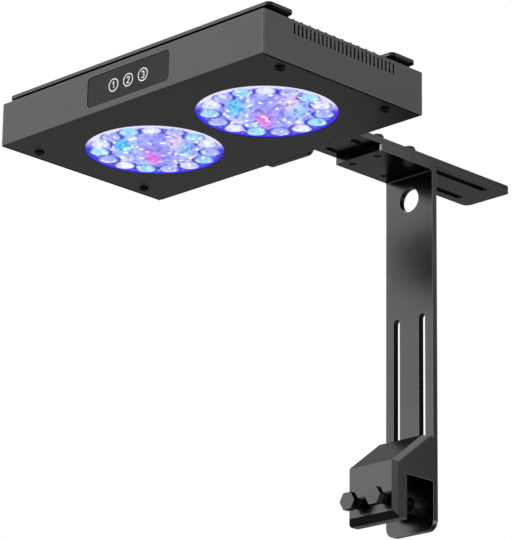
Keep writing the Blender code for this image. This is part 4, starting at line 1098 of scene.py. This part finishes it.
# %% Glowing lenses
LENS_DARK = "10103a"
LENS_ROUGHNESS = 0.15
LENS_SPECULAR = 0.02
FACET_SCALE = 560
FACET_STRETCH = 1.7
FACET_SHARE = 0.85
FACET_STOPS = ((0.0, "8c96e6"), (0.20, "bcc6f6"), (0.45, "e4eafc"), (0.72, "ffffff"))
SPARK_CHANCE = (0.90, 0.94)
SPARK_SHARE = 0.9


def ramp(tree, stops, source):
    """Colour ramp through stops (position, web colour), fed by a socket."""
    node = add_node(tree, "ShaderNodeValToRGB")
    elements = node.color_ramp.elements
    while len(elements) < len(stops):
        elements.new(0.5)
    for element, (position, code) in zip(elements, stops):
        element.position = position
        element.color = (*colour(code), 1)
    return feed(tree, node, {"Fac": source}).outputs["Color"]


lens_glow = bpy.data.materials.new("lens_glow")
lens_glow.use_nodes = True
tree = lens_glow.node_tree
light = add_node(tree, "ShaderNodeVertexColor", layer_name="light").outputs["Color"]
strength = add_node(tree, "ShaderNodeAttribute", attribute_name="facets").outputs["Fac"]
lengthened = feed(tree, add_node(tree, "ShaderNodeMapping", vector_type="TEXTURE"), {
    "Vector": add_node(tree, "ShaderNodeTexCoord").outputs["Object"],
    "Rotation": (0, 0, math.atan2(LEAN[1], LEAN[0])),
    "Scale": (FACET_STRETCH, 1, 1),
})
facets = add_node(tree, "ShaderNodeTexVoronoi", voronoi_dimensions="2D")
feed(tree, facets, {"Vector": lengthened.outputs[0], "Scale": FACET_SCALE})
chance = feed(tree, add_node(tree, "ShaderNodeSeparateColor"), {0: facets.outputs["Color"]}).outputs
cut = mixed(tree, light, ramp(tree, FACET_STOPS, chance["Red"]), FACET_SHARE, "MULTIPLY")
sparked = mixed(tree, cut, grey(1), ranged(tree, chance["Green"], *SPARK_CHANCE, 0.0, SPARK_SHARE))
feed(tree, tree.nodes["Principled BSDF"], {
    "Base Color": (*colour(LENS_DARK), 1), "Roughness": LENS_ROUGHNESS, "Specular IOR Level": LENS_SPECULAR,
    "Emission Strength": 1.0, "Emission Color": mixed(tree, light, sparked, strength),
})

for side in ("left", "right"):
    node = "lens_array_" + side
    low, high, middle = box_of(node)
    window = np.array([middle.x, middle.y, low.z + PLATE_LIFT])
    flange = (high.x - low.x) / 2
    boss = flange - PLATE_FLANGE
    plate = stand_in(lens_plate("lens_plate_" + side, window, boss, flange, high.z - window[2]), node, lens_glow)
    domes = finish_piece(lens_domes("lens_domes_" + side, window, boss), "lamp", lens_glow)
print("plate and dome faces:", len(plate.data.polygons), len(domes.data.polygons))

# %% [markdown]
# ## Touch panel print
# Three rings with a plain number in each are printed on the panel. Every stroke is a ribbon: a path in the panel's
# plane, widened to both sides along its normals, and given the thickness of paint.

# %% Printed strokes
FIGURE_STEPS = 24
STROKE = 0.0006
SHARPEST_TURN = 0.6
PAINT = 0.00008


def numeral(figure):
    """Stroke of a figure, as a path in shares of its half height."""
    if figure == 1:
        return np.array([(-0.50, 0.50), (0.12, 1.0), (0.12, -1.0)])
    if figure == 2:
        return np.concatenate([arc(0, 0.45, 0.55, 165, -35, FIGURE_STEPS), [(-0.60, -1.0), (0.62, -1.0)]])
    return np.concatenate([arc(0, 0.48, 0.50, 150, -80, FIGURE_STEPS), arc(0, -0.46, 0.56, 80, -150, FIGURE_STEPS)])


def unit(steps):
    """Each step of a path at length 1."""
    return steps / np.linalg.norm(steps, axis=1, keepdims=True)


def ribbon(path, width, closed):
    """Left and right sides of a path: each point moved along the mean normal of its two neighbours."""
    if closed:
        ahead, back = np.roll(path, -1, 0), np.roll(path, 1, 0)
    else:
        ahead = np.concatenate([path[1:], 2 * path[-1:] - path[-2:-1]])
        back = np.concatenate([2 * path[:1] - path[1:2], path[:-1]])
    into = unit(path - back)
    mean = unit(into + unit(ahead - path))
    stretch = 1 / np.clip((mean * into).sum(1, keepdims=True), SHARPEST_TURN, 1)
    normal = np.stack([-mean[:, 1], mean[:, 0]], -1) * stretch * width / 2
    return path + normal, path - normal


def print_mesh(name, path, middle, closed=False):
    """Ribbon as thin paint on the panel: a rectangle of four corners carried along the path."""
    left, right = ribbon(path, STROKE, closed)
    sides = np.stack([left, right, right, left], 1)
    depth = np.broadcast_to([0, 0, -PAINT, -PAINT], sides.shape[:2])
    points = np.stack([sides[..., 0], depth, sides[..., 1]], -1) + np.asarray(middle)
    if closed:
        points = np.concatenate([points, points[:1]])
    mesh = surface_mesh(name, points)
    mesh.shade_flat()
    return mesh


print("points of each figure:", [len(numeral(figure)) for figure in (1, 2, 3)])

# %% [markdown]
# The rings stand in a row across the middle of the panel, and a figure is a little over half as high as its ring. The
# paint soaks into the film by a hair, so it touches all over.

# %% Printed keys
RING_RADIUS = 0.0036
RING_PITCH = 0.0118
RING_RISE = -0.0002
RING_STEPS = 48
FIGURE_SHARE = 0.52
PAINT_SOAK = 0.00002

print_white = coated("print_white", "f4f4f4", "ffffff", 0.0, 0.55, 4000, 0.02, specular=0.3)
low, high, middle = box_of("control_overlay")
ring_path = arc(0, 0, RING_RADIUS, 0, 360 - 360 / RING_STEPS, RING_STEPS)
for figure in (1, 2, 3):
    spot = (middle.x + (figure - 2) * RING_PITCH, low.y + PAINT_SOAK, middle.z + RING_RISE)
    ring = print_mesh(f"key_ring_{figure}", ring_path, spot, closed=True)
    mark = print_mesh(f"key_figure_{figure}", numeral(figure) * RING_RADIUS * FIGURE_SHARE, spot)
    for mesh in (ring, mark):
        finish_piece(mesh, "lamp", print_white)
print("faces of the last figure:", len(mark.polygons))

# %% [markdown]
# ## Pieces that keep their solid
# Boards, gaskets, spacers and the nut plate sit inside the closed lamp. Their solids are right as they are, so they
# only get their finish.

# %% Inner pieces
INNER_FINISH = {
    "led_board_left": led_mask, "led_board_right": led_mask, "control_board": board_mask, "driver_board": board_mask,
    "window_gasket_left": pad_rubber, "window_gasket_right": pad_rubber, "arm_nut_plate": zinc_plate,
    **{f"spacer_post_{number}": zinc_plate for number in range(1, 5)},
}
for node, material in INNER_FINISH.items():
    mesh = frame["nodes"][node].data
    mesh.materials.clear()
    mesh.materials.append(material)
print("inner pieces:", len(INNER_FINISH))
